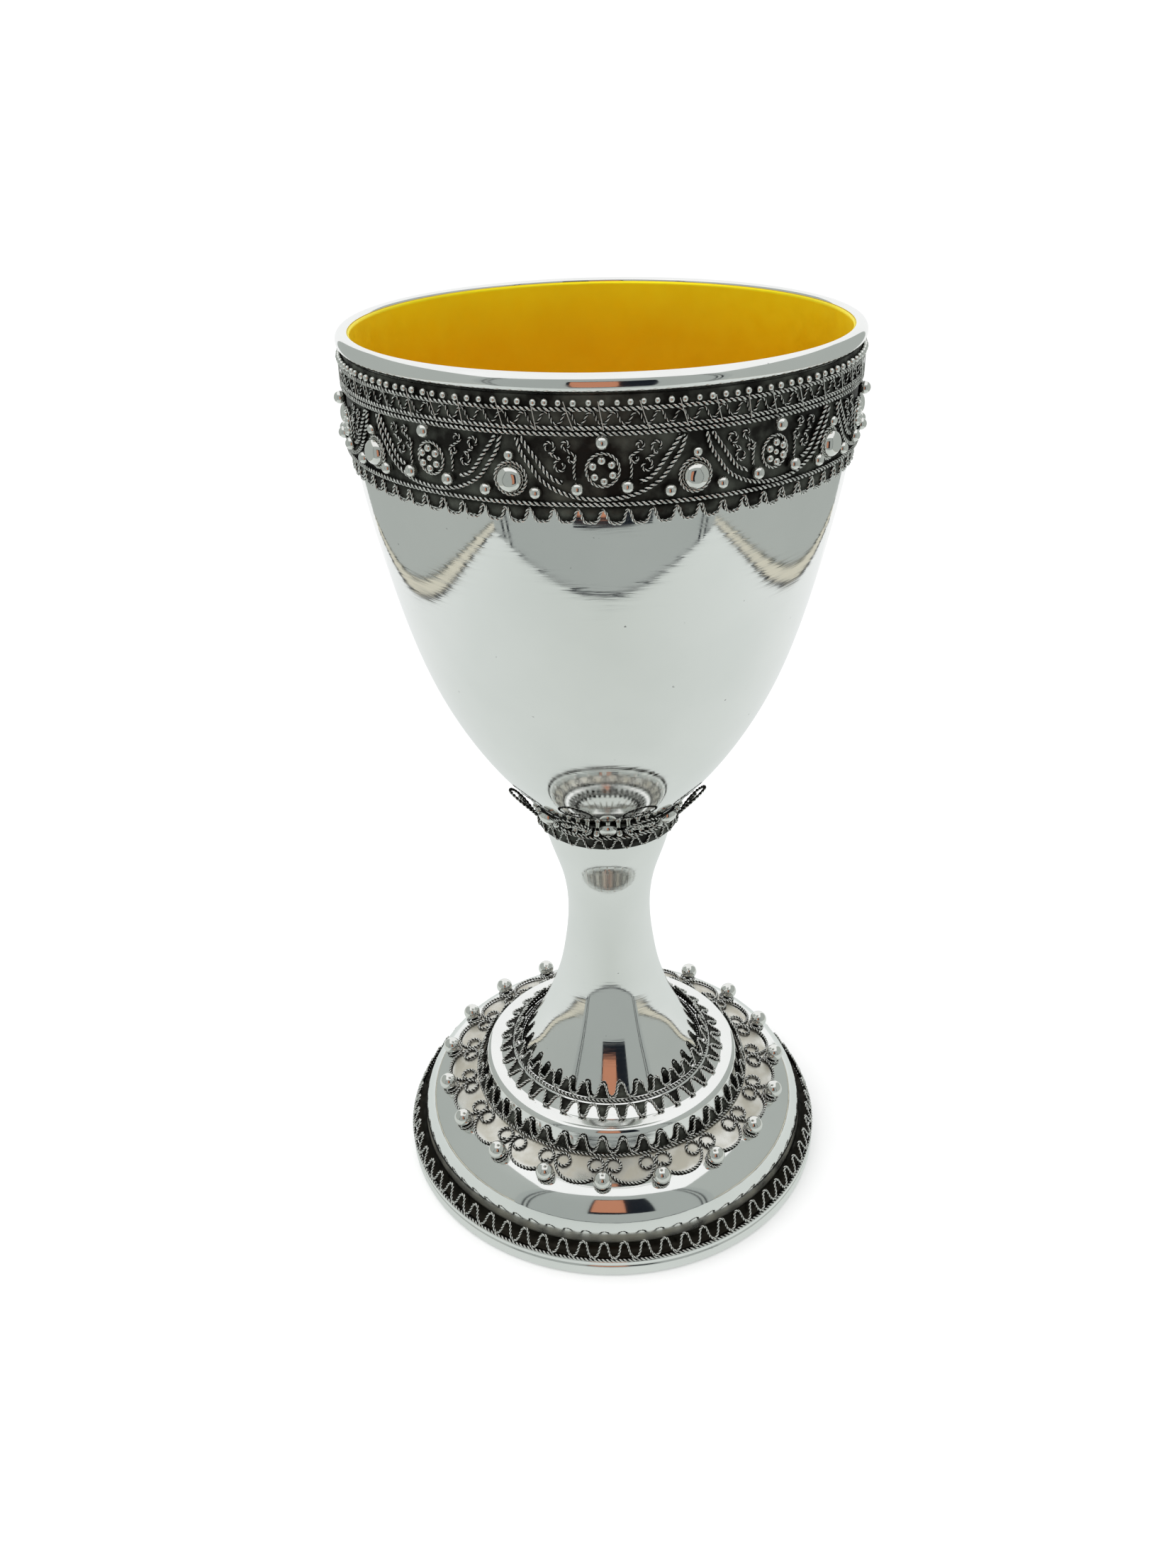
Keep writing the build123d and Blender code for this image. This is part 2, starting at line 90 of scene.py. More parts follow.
# ---- curves ----------------------------------------------------------------------------------------
def spline(points, per_span=12, closed=False, first=None, last=None):
    """Natural cubic spline through the points, by chord length; ends may be given a direction."""
    knots = np.array(points, float)
    if closed:
        turn = len(knots)
        lead = 4
        order = [index % turn for index in range(-lead, turn + lead + 1)]
        curve = spline(knots[order], per_span)
        return curve[lead * per_span:(lead + turn) * per_span]
    gaps = np.linalg.norm(np.diff(knots, axis=0), axis=1)
    count = len(knots)
    matrix = np.zeros((count, count))
    target = np.zeros_like(knots)
    for row in range(1, count - 1):
        before, after = gaps[row - 1], gaps[row]
        matrix[row, row - 1:row + 2] = (before, 2 * (before + after), after)
        target[row] = 6 * ((knots[row + 1] - knots[row]) / after - (knots[row] - knots[row - 1]) / before)
    matrix[0, 0] = matrix[-1, -1] = 1
    if first is not None:
        heading = np.array(first, float) / np.linalg.norm(first)
        matrix[0, :2] = (2 * gaps[0], gaps[0])
        target[0] = 6 * ((knots[1] - knots[0]) / gaps[0] - heading)
    if last is not None:
        heading = np.array(last, float) / np.linalg.norm(last)
        matrix[-1, -2:] = (gaps[-1], 2 * gaps[-1])
        target[-1] = 6 * (heading - (knots[-1] - knots[-2]) / gaps[-1])
    bend = np.linalg.solve(matrix, target)
    out = []
    for row in range(count - 1):
        gap = gaps[row]
        for step in range(per_span):
            t = gap * step / per_span
            left, right = (gap - t), t
            out.append(bend[row] * left ** 3 / (6 * gap) + bend[row + 1] * right ** 3 / (6 * gap)
                       + (knots[row] / gap - bend[row] * gap / 6) * left
                       + (knots[row + 1] / gap - bend[row + 1] * gap / 6) * right)
    out.append(knots[-1])
    return np.array(out)


def rounded(points, radii, steps=5):
    """Polyline with its corners rounded; radii has one number for each inner point."""
    out = [np.array(points[0], float)]
    for index in range(1, len(points) - 1):
        before, corner, after = (np.array(points[index + shift], float) for shift in (-1, 0, 1))
        radius = radii[index - 1]
        into = (corner - before) / np.linalg.norm(corner - before)
        away = (after - corner) / np.linalg.norm(after - corner)
        turn = math.acos(max(-1.0, min(1.0, float(into @ away))))
        if radius == 0 or turn < 1e-4:
            out.append(corner)
            continue
        cut = radius * math.tan(turn / 2)
        start, end = corner - into * cut, corner + away * cut
        inward = away - into
        centre = corner + inward / np.linalg.norm(inward) * radius / math.cos(turn / 2)
        a, b = start - centre, end - centre
        for step in range(steps + 1):
            share = step / steps
            blend = a * math.sin((1 - share) * turn) + b * math.sin(share * turn)
            out.append(centre + blend / math.sin(turn))
    out.append(np.array(points[-1], float))
    return np.array(out)


def densify(points, step):
    """The same polyline with no stretch longer than step."""
    out = [points[0]]
    for start, end in zip(points[:-1], points[1:]):
        parts = max(1, int(math.ceil(np.linalg.norm(end - start) / step)))
        out += [start + (end - start) * part / parts for part in range(1, parts + 1)]
    return np.array(out)


def resample(points, step, closed):
    """Evenly spaced stations along a 3-D line, with the line and the distance to each of its points."""
    line = np.vstack([points, points[:1]]) if closed else points
    along = np.concatenate([[0], np.cumsum(np.linalg.norm(np.diff(line, axis=0), axis=1))])
    count = max(4, int(round(along[-1] / step)))
    stations = np.linspace(0, along[-1], count + 1)
    if closed:
        stations = stations[:-1]
    return stations, along, line


def inset(points, distance):
    """The outline moved towards the axis by distance, square to its own direction."""
    line = np.array(points, float)
    slope = np.gradient(line, axis=0)
    slope /= np.linalg.norm(slope, axis=1)[:, None]
    return line + distance * np.stack([-slope[:, 1], slope[:, 0]], axis=1)


def polar(radius, azimuth, height):
    """Points in metres from radius and height in millimetres and azimuth in degrees."""
    angle = np.radians(azimuth)
    return np.stack(np.broadcast_arrays(radius * np.cos(angle), radius * np.sin(angle), height), axis=-1) * MM


# ---- mesh building ---------------------------------------------------------------------------------
def make_mesh(name, points, quads, painted_light=None):
    mesh = bpy.data.meshes.new(name)
    quads = np.asarray(quads, np.int32)
    mesh.vertices.add(len(points))
    mesh.vertices.foreach_set("co", np.asarray(points, np.float32).ravel())
    sides = quads.shape[1]
    mesh.loops.add(quads.size)
    mesh.loops.foreach_set("vertex_index", quads.ravel())
    mesh.polygons.add(len(quads))
    mesh.polygons.foreach_set("loop_start", np.arange(0, quads.size, sides, dtype=np.int32))
    mesh.polygons.foreach_set("use_smooth", np.ones(len(quads), bool))
    mesh.update(calc_edges=True)
    # per-vertex painted light and shade for the filigree colour: 1 on crowns, 0 in hollows and at feet
    if painted_light is not None:
        layer = mesh.attributes.new("painted_light", "FLOAT", "POINT")
        layer.data.foreach_set("value", np.asarray(painted_light, np.float32))
    piece = bpy.data.objects.new(name, mesh)
    bpy.context.scene.collection.objects.link(piece)
    return piece


def wrapped_quads(rows, columns, closed=False):
    """Quads between the rows of a grid whose columns run round and meet; closed joins last row to first."""
    row = np.arange(rows if closed else rows - 1)[:, None]
    column = np.arange(columns)[None, :]
    below = (row + 1) % rows
    beside = (column + 1) % columns
    return np.stack([row * columns + column, below * columns + column,
                     below * columns + beside, row * columns + beside], axis=-1).reshape(-1, 4)


def rays_round(out, turn):
    """Unit vectors square to out, at the angles of turn from the level one."""
    side_way = np.cross((0, 0, 1), out)
    side_way /= np.linalg.norm(side_way)
    up = np.cross(out, side_way)
    return np.cos(turn)[:, None] * side_way + np.sin(turn)[:, None] * up


def finish_piece(piece, material, slot, *nodes):
    piece.data.materials.append(material)
    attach(piece, "root")
    if nodes:
        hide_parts(*nodes)
    return piece


def lathe(name, outline, step=0.5):
    """Spun ring-shaped solid from a closed outline of (radius, height) that stays clear of the axis."""
    line = densify(np.vstack([outline, outline[:1]]), step)[:-1]
    azimuths = np.arange(SEGMENTS) * 360.0 / SEGMENTS
    grid = polar(line[:, 0][:, None], azimuths[None, :], line[:, 1][:, None]).reshape(-1, 3)
    quads = wrapped_quads(len(line), SEGMENTS, closed=True)
    area = np.sum(line[:, 0] * np.roll(line[:, 1], -1) - np.roll(line[:, 0], -1) * line[:, 1])
    if area > 0:
        quads = quads[:, ::-1]
    return make_mesh(name, grid, quads)


def spin(name, outline, step=0.5):
    """Spun solid whose outline starts and ends on the axis."""
    line = densify(outline, step)
    azimuths = np.arange(SEGMENTS) * 360.0 / SEGMENTS
    grid = polar(np.maximum(line[:, 0], 1e-4)[:, None], azimuths[None, :], line[:, 1][:, None]).reshape(-1, 3)
    return make_mesh(name, grid, wrapped_quads(len(line), SEGMENTS))


def frames(line, normals, closed):
    """Unit normal and side vectors of a line whose surface normals are roughly known."""
    if closed:
        tangent = np.roll(line, -1, axis=0) - np.roll(line, 1, axis=0)
    else:
        tangent = np.gradient(line, axis=0)
    tangent /= np.linalg.norm(tangent, axis=1)[:, None]
    normal = normals - tangent * np.sum(normals * tangent, axis=1)[:, None]
    normal /= np.linalg.norm(normal, axis=1)[:, None]
    return normal, np.cross(tangent, normal)


def tube_faces(stations, sides, offset, closed):
    """Quads of one tube, with its ends closed by fans of quads when it is open."""
    quads = wrapped_quads(stations, sides, closed)[:, [0, 3, 2, 1]]
    if not closed:
        last = (stations - 1) * sides
        caps = []
        for side in range(1, sides // 2):
            cap = np.array((side - 1, (sides - side) % sides, sides - side - 1, side))
            caps += [cap[::-1], last + cap]
        quads = np.vstack([quads, np.array(caps)])
    return quads + offset


def twisted(lines, diameter=ROPE_D, pitch=ROPE_PITCH, closed=False, steps=11, sides=6):
    """Two strands twisted about each line; a line is (points, surface normals), both n by 3, in metres.

    Each vertex also gets a painted light value: 1 on the crowns of the strands and 0, painted shade, in the
    groove between them and at the foot.
    """
    all_points, all_quads, all_painted_light = [], [], []
    offset = 0
    reach = diameter * MM * 0.235
    thick = diameter * MM * 0.265
    for points, normals in lines:
        stations, along, line = resample(points, pitch * MM / steps, closed)
        sheet = np.vstack([normals, normals[:1]]) if closed else normals
        centre = np.stack([np.interp(stations, along, line[:, axis]) for axis in range(3)], axis=1)
        facing = np.stack([np.interp(stations, along, sheet[:, axis]) for axis in range(3)], axis=1)
        normal, side_way = frames(centre, facing, closed)
        turns = along[-1] / (pitch * MM)
        if closed:
            turns = max(1, round(turns))
        phase = 2 * math.pi * turns * stations / along[-1] + dice.random() * 6.28
        for strand in (0, math.pi):
            arm = (np.cos(phase + strand)[:, None] * normal + np.sin(phase + strand)[:, None] * side_way)
            core = centre + reach * arm
            if closed:
                run = np.roll(core, -1, axis=0) - np.roll(core, 1, axis=0)
            else:
                run = np.gradient(core, axis=0)
            run /= np.linalg.norm(run, axis=1)[:, None]
            across = np.cross(run, arm)
            theta = np.arange(sides) * 2 * math.pi / sides
            ring = (core[:, None] + thick * (np.cos(theta)[None, :, None] * arm[:, None]
                                             + np.sin(theta)[None, :, None] * across[:, None]))
            away = ring - centre[:, None]
            crown = np.linalg.norm(away, axis=2) / (reach + thick)
            lift = np.sum(away * normal[:, None], axis=2) / (reach + thick)
            # painted shade in the groove between the strands and at the foot, painted light on the crowns
            painted_light = np.clip((crown - 0.45) / 0.45, 0, 1) * np.clip((lift + 0.75) / 0.9, 0, 1)
            all_points.append(ring.reshape(-1, 3))
            all_painted_light.append(painted_light.reshape(-1))
            all_quads.append(tube_faces(len(core), sides, offset, closed))
            offset += len(core) * sides
    return np.vstack(all_points), np.vstack(all_quads), np.concatenate(all_painted_light)


def plain_wire(lines, diameter, sides=6):
    """Round wire along each open line of (points, normals)."""
    all_points, all_quads, all_painted_light = [], [], []
    offset = 0
    for points, normals in lines:
        normal, side_way = frames(points, normals, False)
        theta = np.arange(sides) * 2 * math.pi / sides
        arm = (np.cos(theta)[None, :, None] * normal[:, None]
               + np.sin(theta)[None, :, None] * side_way[:, None])
        all_points.append((points[:, None] + diameter * MM / 2 * arm).reshape(-1, 3))
        # painted light on the side of the wire facing out, painted shade on the side towards the surface
        all_painted_light.append(np.tile(np.clip(np.cos(theta) * 0.8 + 0.4, 0, 1), len(points)))
        all_quads.append(tube_faces(len(points), sides, offset, False))
        offset += len(points) * sides
    return np.vstack(all_points), np.vstack(all_quads), np.concatenate(all_painted_light)


def ball_mesh(places, rows=12, columns=18):
    """Round granules; a place is (centre, outward normal, radius), and the painted light value falls to 0 at
    the foot, painted shade where each sits on the surface.
    """
    polar_angle = np.linspace(0, math.pi, rows + 1)
    polar_angle[0], polar_angle[-1] = 0.02, math.pi - 0.02
    turn = np.arange(columns) * 2 * math.pi / columns
    all_points, all_quads, all_painted_light = [], [], []
    quads = wrapped_quads(rows + 1, columns)
    offset = 0
    for centre, normal, radius in places:
        out = np.array(normal, float) / np.linalg.norm(normal)
        ring = rays_round(out, turn)
        flat = 1.0 - 0.06 * dice.random()
        points = (np.sin(polar_angle)[:, None, None] * ring[None] * radius
                  + np.cos(polar_angle)[:, None, None] * out[None, None] * radius * flat)
        all_points.append((points + np.array(centre)).reshape(-1, 3))
        # painted shade towards the foot of each granule
        foot = np.clip((np.cos(polar_angle) + 0.75) / 0.6, 0, 1)
        all_painted_light.append(np.repeat(foot, columns))
        all_quads.append(quads + offset)
        offset += (rows + 1) * columns
    return np.vstack(all_points), np.vstack(all_quads), np.concatenate(all_painted_light)


# ---- materials -------------------------------------------------------------------------------------
def node_material(name):
    material = bpy.data.materials.new(name)
    material.use_nodes = True
    nodes = material.node_tree.nodes
    shader = nodes["Principled BSDF"]
    return material, nodes, material.node_tree.links, shader


def noise(nodes, links, scale, detail=3.0, stretch=(1, 1, 1)):
    """Noise in the object's own coordinates, in which one unit is a metre."""
    place = nodes.new("ShaderNodeTexCoord")
    mapping = nodes.new("ShaderNodeMapping")
    mapping.inputs["Scale"].default_value = stretch
    texture = nodes.new("ShaderNodeTexNoise")
    texture.inputs["Scale"].default_value = scale
    texture.inputs["Detail"].default_value = detail
    links.new(place.outputs["Object"], mapping.inputs["Vector"])
    links.new(mapping.outputs["Vector"], texture.inputs["Vector"])
    return texture.outputs["Fac"]


def ramp(nodes, links, value, stops):
    """Colour ramp; stops are (position, grey) or (position, (r, g, b))."""
    node = nodes.new("ShaderNodeValToRGB")
    elements = node.color_ramp.elements
    while len(elements) < len(stops):
        elements.new(0.5)
    for element, (position, colour) in zip(elements, stops):
        element.position = position
        shade = (colour,) * 3 if isinstance(colour, (int, float)) else colour
        element.color = (*shade, 1)
    links.new(value, node.inputs["Fac"])
    return node.outputs["Color"]


def mix(nodes, links, kind, factor, a, b):
    node = nodes.new("ShaderNodeMix")
    node.data_type = "RGBA"
    node.blend_type = kind
    for socket, value in ((node.inputs["Factor"], factor), (node.inputs[6], a), (node.inputs[7], b)):
        if isinstance(value, (int, float)):
            socket.default_value = value
        elif isinstance(value, tuple):
            socket.default_value = (*value, 1)
        else:
            links.new(value, socket)
    return node.outputs[2]


def bump(nodes, links, shader, height, strength, distance):
    node = nodes.new("ShaderNodeBump")
    node.inputs["Strength"].default_value = strength
    node.inputs["Distance"].default_value = distance
    links.new(height, node.inputs["Height"])
    links.new(node.outputs["Normal"], shader.inputs["Normal"])


def polished_silver(name, haze=0.06, tarnish=0.25, swirl=(1, 1, 14)):
    """Hand-polished silver: cloudy haze, fine lines left by spinning, a few pits."""
    material, nodes, links, shader = node_material(name)
    cloud = noise(nodes, links, 55, 4)
    lines = noise(nodes, links, 160, 2, swirl)
    pits = noise(nodes, links, 900, 2)
    tint = ramp(nodes, links, cloud, [(0.3, (0.90, 0.905, 0.89)), (0.62, (0.95, 0.95, 0.935))])
    spots = ramp(nodes, links, pits, [(0.16, tarnish), (0.24, 1.0)])
    links.new(mix(nodes, links, "MULTIPLY", 1.0, tint, spots), shader.inputs["Base Color"])
    shader.inputs["Metallic"].default_value = 1.0
    links.new(ramp(nodes, links, lines, [(0.3, haze * 0.6), (0.75, haze * 1.9)]), shader.inputs["Roughness"])
    bump(nodes, links, shader, mix(nodes, links, "ADD", 0.6, cloud, lines), 0.35, 0.00002)
    return material


def scaled_height(nodes, links, scale):
    """Height above the table in metres, times scale."""
    place = nodes.new("ShaderNodeTexCoord")
    split = nodes.new("ShaderNodeSeparateXYZ")
    reach = nodes.new("ShaderNodeMath")
    reach.operation = "MULTIPLY"
    reach.inputs[1].default_value = scale
    links.new(place.outputs["Object"], split.inputs[0])
    links.new(split.outputs["Z"], reach.inputs[0])
    return reach.outputs[0]


def gilding():
    """Satin gold plate, paler and yellower towards the rim and browner lower down, painted light and shade
    down the inside of the cup, and browner in soft patches.
    """
    material, nodes, links, shader = node_material("gilding")
    patches = noise(nodes, links, 42, 3)
    grain = noise(nodes, links, 420, 4)
    # painted light and shade: the colour goes by height, paler towards the rim and browner deeper in the cup
    height = scaled_height(nodes, links, 6.5)
    tint = ramp(nodes, links, height, [(0.82, (0.87, 0.56, 0.003)), (0.93, (0.91, 0.65, 0.004)),
                                       (0.985, (0.98, 0.84, 0.006))])
    soft = ramp(nodes, links, patches, [(0.3, (0.90, 0.84, 0.8)), (0.7, (1.0, 1.0, 1.0))])
    links.new(mix(nodes, links, "MULTIPLY", 1.0, tint, soft), shader.inputs["Base Color"])
    shader.inputs["Metallic"].default_value = 0.68
    links.new(ramp(nodes, links, grain, [(0.3, 0.34), (0.7, 0.48)]), shader.inputs["Roughness"])
    bump(nodes, links, shader, grain, 0.25, 0.00003)
    return material


def dome_silver():
    """Polished silver, dull and beige where no cloth reaches: between scrolls and behind the edge wires."""
    material, nodes, links, shader = node_material("dome_silver")
    height = scaled_height(nodes, links, 50.0)
    cloud = noise(nodes, links, 55, 4)
    blotch = noise(nodes, links, 260, 4)
    lines = noise(nodes, links, 160, 2, (1, 1, 14))
    # painted shade: black on the neck below the shoulder, under about 5.5 mm, behind the edge wires
    black = ramp(nodes, links, height, [(0.262, 1.0), (0.285, 0.0)])
    unpolished = ramp(nodes, links, height, [(0.345, 1.0), (0.38, 0.0), (0.688, 0.0), (0.698, 1.0)])
    uneven = ramp(nodes, links, blotch, [(0.3, 0.45), (0.6, 1.0)])
    dull = mix(nodes, links, "MULTIPLY", 1.0, unpolished, uneven)
    tint = ramp(nodes, links, cloud, [(0.3, (0.89, 0.90, 0.885)), (0.62, (0.945, 0.95, 0.935))])
    silver = mix(nodes, links, "MIX", dull, tint, (0.60, 0.57, 0.49))
    links.new(mix(nodes, links, "MIX", black, silver, (0.02, 0.018, 0.014)), shader.inputs["Base Color"])
    shader.inputs["Metallic"].default_value = 1.0
    links.new(ramp(nodes, links, dull, [(0.0, 0.07), (1.0, 0.44)]), shader.inputs["Roughness"])
    bump(nodes, links, shader, mix(nodes, links, "ADD", 0.6, cloud, lines), 0.35, 0.00002)
    return material


def oxide_and_painted_shade(name, dark=(0.012, 0.011, 0.009), light=(0.11, 0.118, 0.10)):
    """Silver blackened with liver of sulphur, with greyer rubbed patches; the same black is also painted
    shade in the sheets behind the gallery loops.
    """
    material, nodes, links, shader = node_material(name)
    patches = noise(nodes, links, 260, 5)
    grain = noise(nodes, links, 1500, 3)
    links.new(ramp(nodes, links, patches, [(0.42, dark), (0.72, light)]), shader.inputs["Base Color"])
    shader.inputs["Metallic"].default_value = 0.75
    links.new(ramp(nodes, links, grain, [(0.3, 0.42), (0.7, 0.62)]), shader.inputs["Roughness"])
    bump(nodes, links, shader, grain, 0.5, 0.00004)
    return material


def worn_and_shaded_silver(name, dark=(0.012, 0.011, 0.009), bright=(0.80, 0.80, 0.77), haze=0.2, edge=(0.25, 0.62)):
    """Silver, bright on its crowns and black in its hollows as painted shade by the per-vertex value made
    with each mesh, varied by random rubbed patches of wear.
    """
    material, nodes, links, shader = node_material(name)
    # per-vertex painted light and shade: 1 on crowns, 0 in grooves and at feet, where the black is painted
    # shade
    attribute = nodes.new("ShaderNodeAttribute")
    attribute.attribute_name = "painted_light"
    patches = noise(nodes, links, 700, 4)
    rub = ramp(nodes, links, patches, [(0.25, 0.72), (0.6, 1.0)])
    rub_and_shade = mix(nodes, links, "MULTIPLY", 1.0, attribute.outputs["Color"], rub)
    mask = ramp(nodes, links, rub_and_shade, [(edge[0], 0.0), (edge[1], 1.0)])
    links.new(mix(nodes, links, "MIX", mask, dark, bright), shader.inputs["Base Color"])
    shader.inputs["Metallic"].default_value = 1.0
    links.new(ramp(nodes, links, mask, [(0.0, 0.55), (1.0, haze)]), shader.inputs["Roughness"])
    bump(nodes, links, shader, patches, 0.2, 0.00002)
    return material


def turned_brass():
    material, nodes, links, shader = node_material("turned_brass")
    lines = noise(nodes, links, 300, 2, (1, 1, 20))
    tint = ramp(nodes, links, lines, [(0.3, (0.45, 0.30, 0.10)), (0.7, (0.62, 0.45, 0.18))])
    links.new(tint, shader.inputs["Base Color"])
    shader.inputs["Metallic"].default_value = 1.0
    links.new(ramp(nodes, links, lines, [(0.3, 0.25), (0.7, 0.4)]), shader.inputs["Roughness"])
    return material


SILVER = polished_silver("bowl_silver")
FOOT_SILVER = polished_silver("foot_silver", haze=0.07)
DOME_SILVER = dome_silver()
GOLD = gilding()
# black oxide on the band and collar plates; the same material is painted shade in the sheets behind the
# gallery loops
BLACK = oxide_and_painted_shade("oxidised_silver")
ROPE = worn_and_shaded_silver("rope_silver", bright=(0.88, 0.88, 0.85), haze=0.26, edge=(0.55, 0.88))
WIRE = worn_and_shaded_silver("gallery_silver", bright=(0.90, 0.90, 0.87), haze=0.24, edge=(0.14, 0.50))
BEAD = worn_and_shaded_silver("granule_silver", bright=(0.86, 0.86, 0.83), haze=0.08, edge=(0.15, 0.5))
BRASS = turned_brass()


# ---- spun shells -----------------------------------------------------------------------------------
def make_bowl():
    outer = spline(BOWL_OUTLINE, 16, first=(0.1, 1), last=(0, 1))
    wall = inset(BOWL_OUTLINE[3:], BOWL_WALL)
    inner_r = BAND_R - BOWL_WALL
    inner_knots = [(0, BOWL_FLOOR_Z), (BOWL_FLOOR_R, BOWL_FLOOR_Z + 0.5), *wall[:-1], (inner_r, wall[-1][1])]
    inner = spline(inner_knots, 12, first=(1, 0), last=(0, 1))
    edge = [(BAND_R, LIP_BOTTOM_Z), (inner_r, LIP_BOTTOM_Z)]
    outline = np.vstack([[(0, JOINT_Z + 0.01)], outer, edge, inner[::-1]])
    finish_piece(spin("bowl_shell", outline), SILVER, "polished_silver", "bowl")
    gilt_top = LIP_BOTTOM_Z + 1.85
    front_knots = [(max(0, radius - GILT), height + (GILT if index < 3 else 0))
                   for index, (radius, height) in enumerate(inner_knots)]
    front = spline(front_knots, 12, first=(1, 0), last=(0, 1))
    skin = np.vstack([inner[1:], [(inner_r, gilt_top), (inner_r - GILT, gilt_top)], front[:0:-1]])
    outline = np.vstack([[(0, BOWL_FLOOR_Z + 0.02)], skin, [(0, BOWL_FLOOR_Z + GILT)]])
    finish_piece(spin("bowl_gilding", outline), GOLD, "gilding", "gilt_lining")


def make_lip():
    """One wide convex roll outside, flat on top and rounded into the bowl."""
    inner_r = BAND_R - BOWL_WALL
    turn = np.radians(np.linspace(-74, 90, 44))
    middle = (LIP_BOTTOM_Z + RIM_Z) / 2
    roll = np.stack([36.55 + 1.15 * np.cos(turn), middle + (RIM_Z - middle) * np.sin(turn)], axis=1)
    turn = np.radians(np.linspace(90, 180, 10))
    into = np.stack([inner_r + 0.5 + 0.5 * np.cos(turn), RIM_Z - 0.5 + 0.5 * np.sin(turn)], axis=1)
    outline = np.vstack([[(inner_r + 0.4, LIP_BOTTOM_Z)], roll, into, [(inner_r, LIP_BOTTOM_Z)]])
    finish_piece(lathe("lip_moulding", outline, 0.3), SILVER, "polished_silver", "lip_ring")


def make_stem():
    outer = spline(STEM_OUTLINE, 16, first=(-0.57, 0.82), last=(0.25, 1))[::-1]
    inner = [(7.0, 70.0), (6.45, 55), (7.1, 43), (9.0, 35), (12.4, 27.5), (15.1, 22.6), (16.2, STEM_BASE_Z)]
    outline = np.vstack([[(ROD_HOLE_R, JOINT_Z)], outer, inner[::-1], [(ROD_HOLE_R, 70.5)]])
    finish_piece(lathe("stem_shell", outline), SILVER, "polished_silver", "stem")


def dome_arc(angle, lift=0.0):
    """Radius and height, lift out from the dome's shoulder, where it faces angle degrees above level."""
    turn = np.radians(angle)
    reach = DOME_ARC_R + lift
    return np.stack([DOME_CENTRE[0] + reach * np.cos(turn), DOME_CENTRE[1] + reach * np.sin(turn)], axis=-1)


def make_step():
    outline = [(8.0, 20.5), (8.0, STEM_BASE_Z), (18.7, STEM_BASE_Z), (21.1, 19.25), (23.65, 19.25),
               (STEP_R, STEP_Z), (24.2, STEP_Z), (22.75, 18.35), (20.8, 18.35), (18.4, 19.9), (8.0, 19.9),
               (8.0, 20.4)]
    step = rounded(outline, [0.1, 0.3, 0.8, 1.25, 0.05, 0.05, 0.8, 0.5, 0.3, 0.1], 12)
    finish_piece(lathe("step_shell", step[:-1], 0.35), FOOT_SILVER, "polished_silver", "foot_step")


def make_dome():
    shoulder = dome_arc(np.linspace(8, DOME_SLOPE, 60))
    back = dome_arc(np.linspace(8, DOME_SLOPE, 40), -SHELL_WALL)
    neck = rounded([(38.6, FLANGE_Z), (38.6, 3.9), (36.5, 4.1), tuple(shoulder[0])], [0.3, 1.6], 9)
    seat = [(26.0, STEP_Z), (22.6, STEP_Z), (22.6, STEP_Z - SHELL_WALL), (25.9, STEP_Z - SHELL_WALL)]
    outline = np.vstack([neck, shoulder[1:], seat, back[::-1], [(35.55, 5.9), (36.2, 4.5), (37.1, FLANGE_Z)]])
    finish_piece(lathe("dome_shell", outline, 0.35), DOME_SILVER, "polished_silver", "foot_dome")


def make_base():
    base_r = 36.8
    outline = [(base_r, 1.0), (base_r, 0), (FOOT_R, 0), (FOOT_R, 2.45), (38.95, 2.55), (39.25, 2.75),
               (39.2, FLANGE_Z), (base_r, FLANGE_Z), (base_r, 1.1)]
    base = rounded(outline, [0.2, 0.9, 0.5, 0.04, 0.15, 0.2, 0.1], 7)
    finish_piece(lathe("base_moulding", base, 0.35), FOOT_SILVER, "polished_silver", "base_ring")


def make_plates():
    plate = rounded([(BAND_R + 0.01, 143), (BAND_R + 0.01, 136.8), (PLATE_R, 136.8), (PLATE_R, 150.5),
                     (BAND_R + 0.01, 150.5), (BAND_R + 0.01, 144)], [0.02, 0.1, 0.1, 0.02], 3)
    finish_piece(lathe("band_back", plate, 1.0), BLACK, "oxidised_silver", "band_plate")
    collar = rounded([(11.6, 71.5), (11.6, 70.7), (12.15, 70.7), (12.15, 73.4), (12.0, 73.4), (11.62, 72.2)],
                     [0.02, 0.1, 0.05, 0.02], 3)
    finish_piece(lathe("collar_back", collar, 0.4), BLACK, "oxidised_silver", "calyx_collar")


make_bowl()
make_lip()
make_stem()
make_step()
make_dome()
make_base()
make_plates()


# ---- wirework --------------------------------------------------------------------------------------
def ring_line(radius, height, count):
    azimuths = np.arange(count) * 360.0 / count
    return polar(radius, azimuths, height), polar(1 / MM, azimuths, 0)


def on_cylinder(path, azimuth, radius):
    """Path of (distance round, height) laid on a cylinder about the axis."""
    path = np.asarray(path, float)
    azimuths = azimuth + np.degrees(path[:, 0] / radius)
    return polar(radius, azimuths, path[:, 1]), polar(1 / MM, azimuths, 0)


def on_slope(path, azimuth, radius, height, slope, lift=0.0):
    """Path of (distance round, distance up) laid on a cone; slope 90 is upright, above 90 leans in."""
    path = np.asarray(path, float)
    rise = math.radians(slope)
    radii = radius + path[:, 1] * math.cos(rise) + lift * math.sin(rise)
    heights = height + path[:, 1] * math.sin(rise) - lift * math.cos(rise)
    azimuths = azimuth + np.degrees(path[:, 0] / radii)
    normal = polar(math.sin(rise) / MM, azimuths, -math.cos(rise) / MM)
    return polar(radii, azimuths, heights), normal


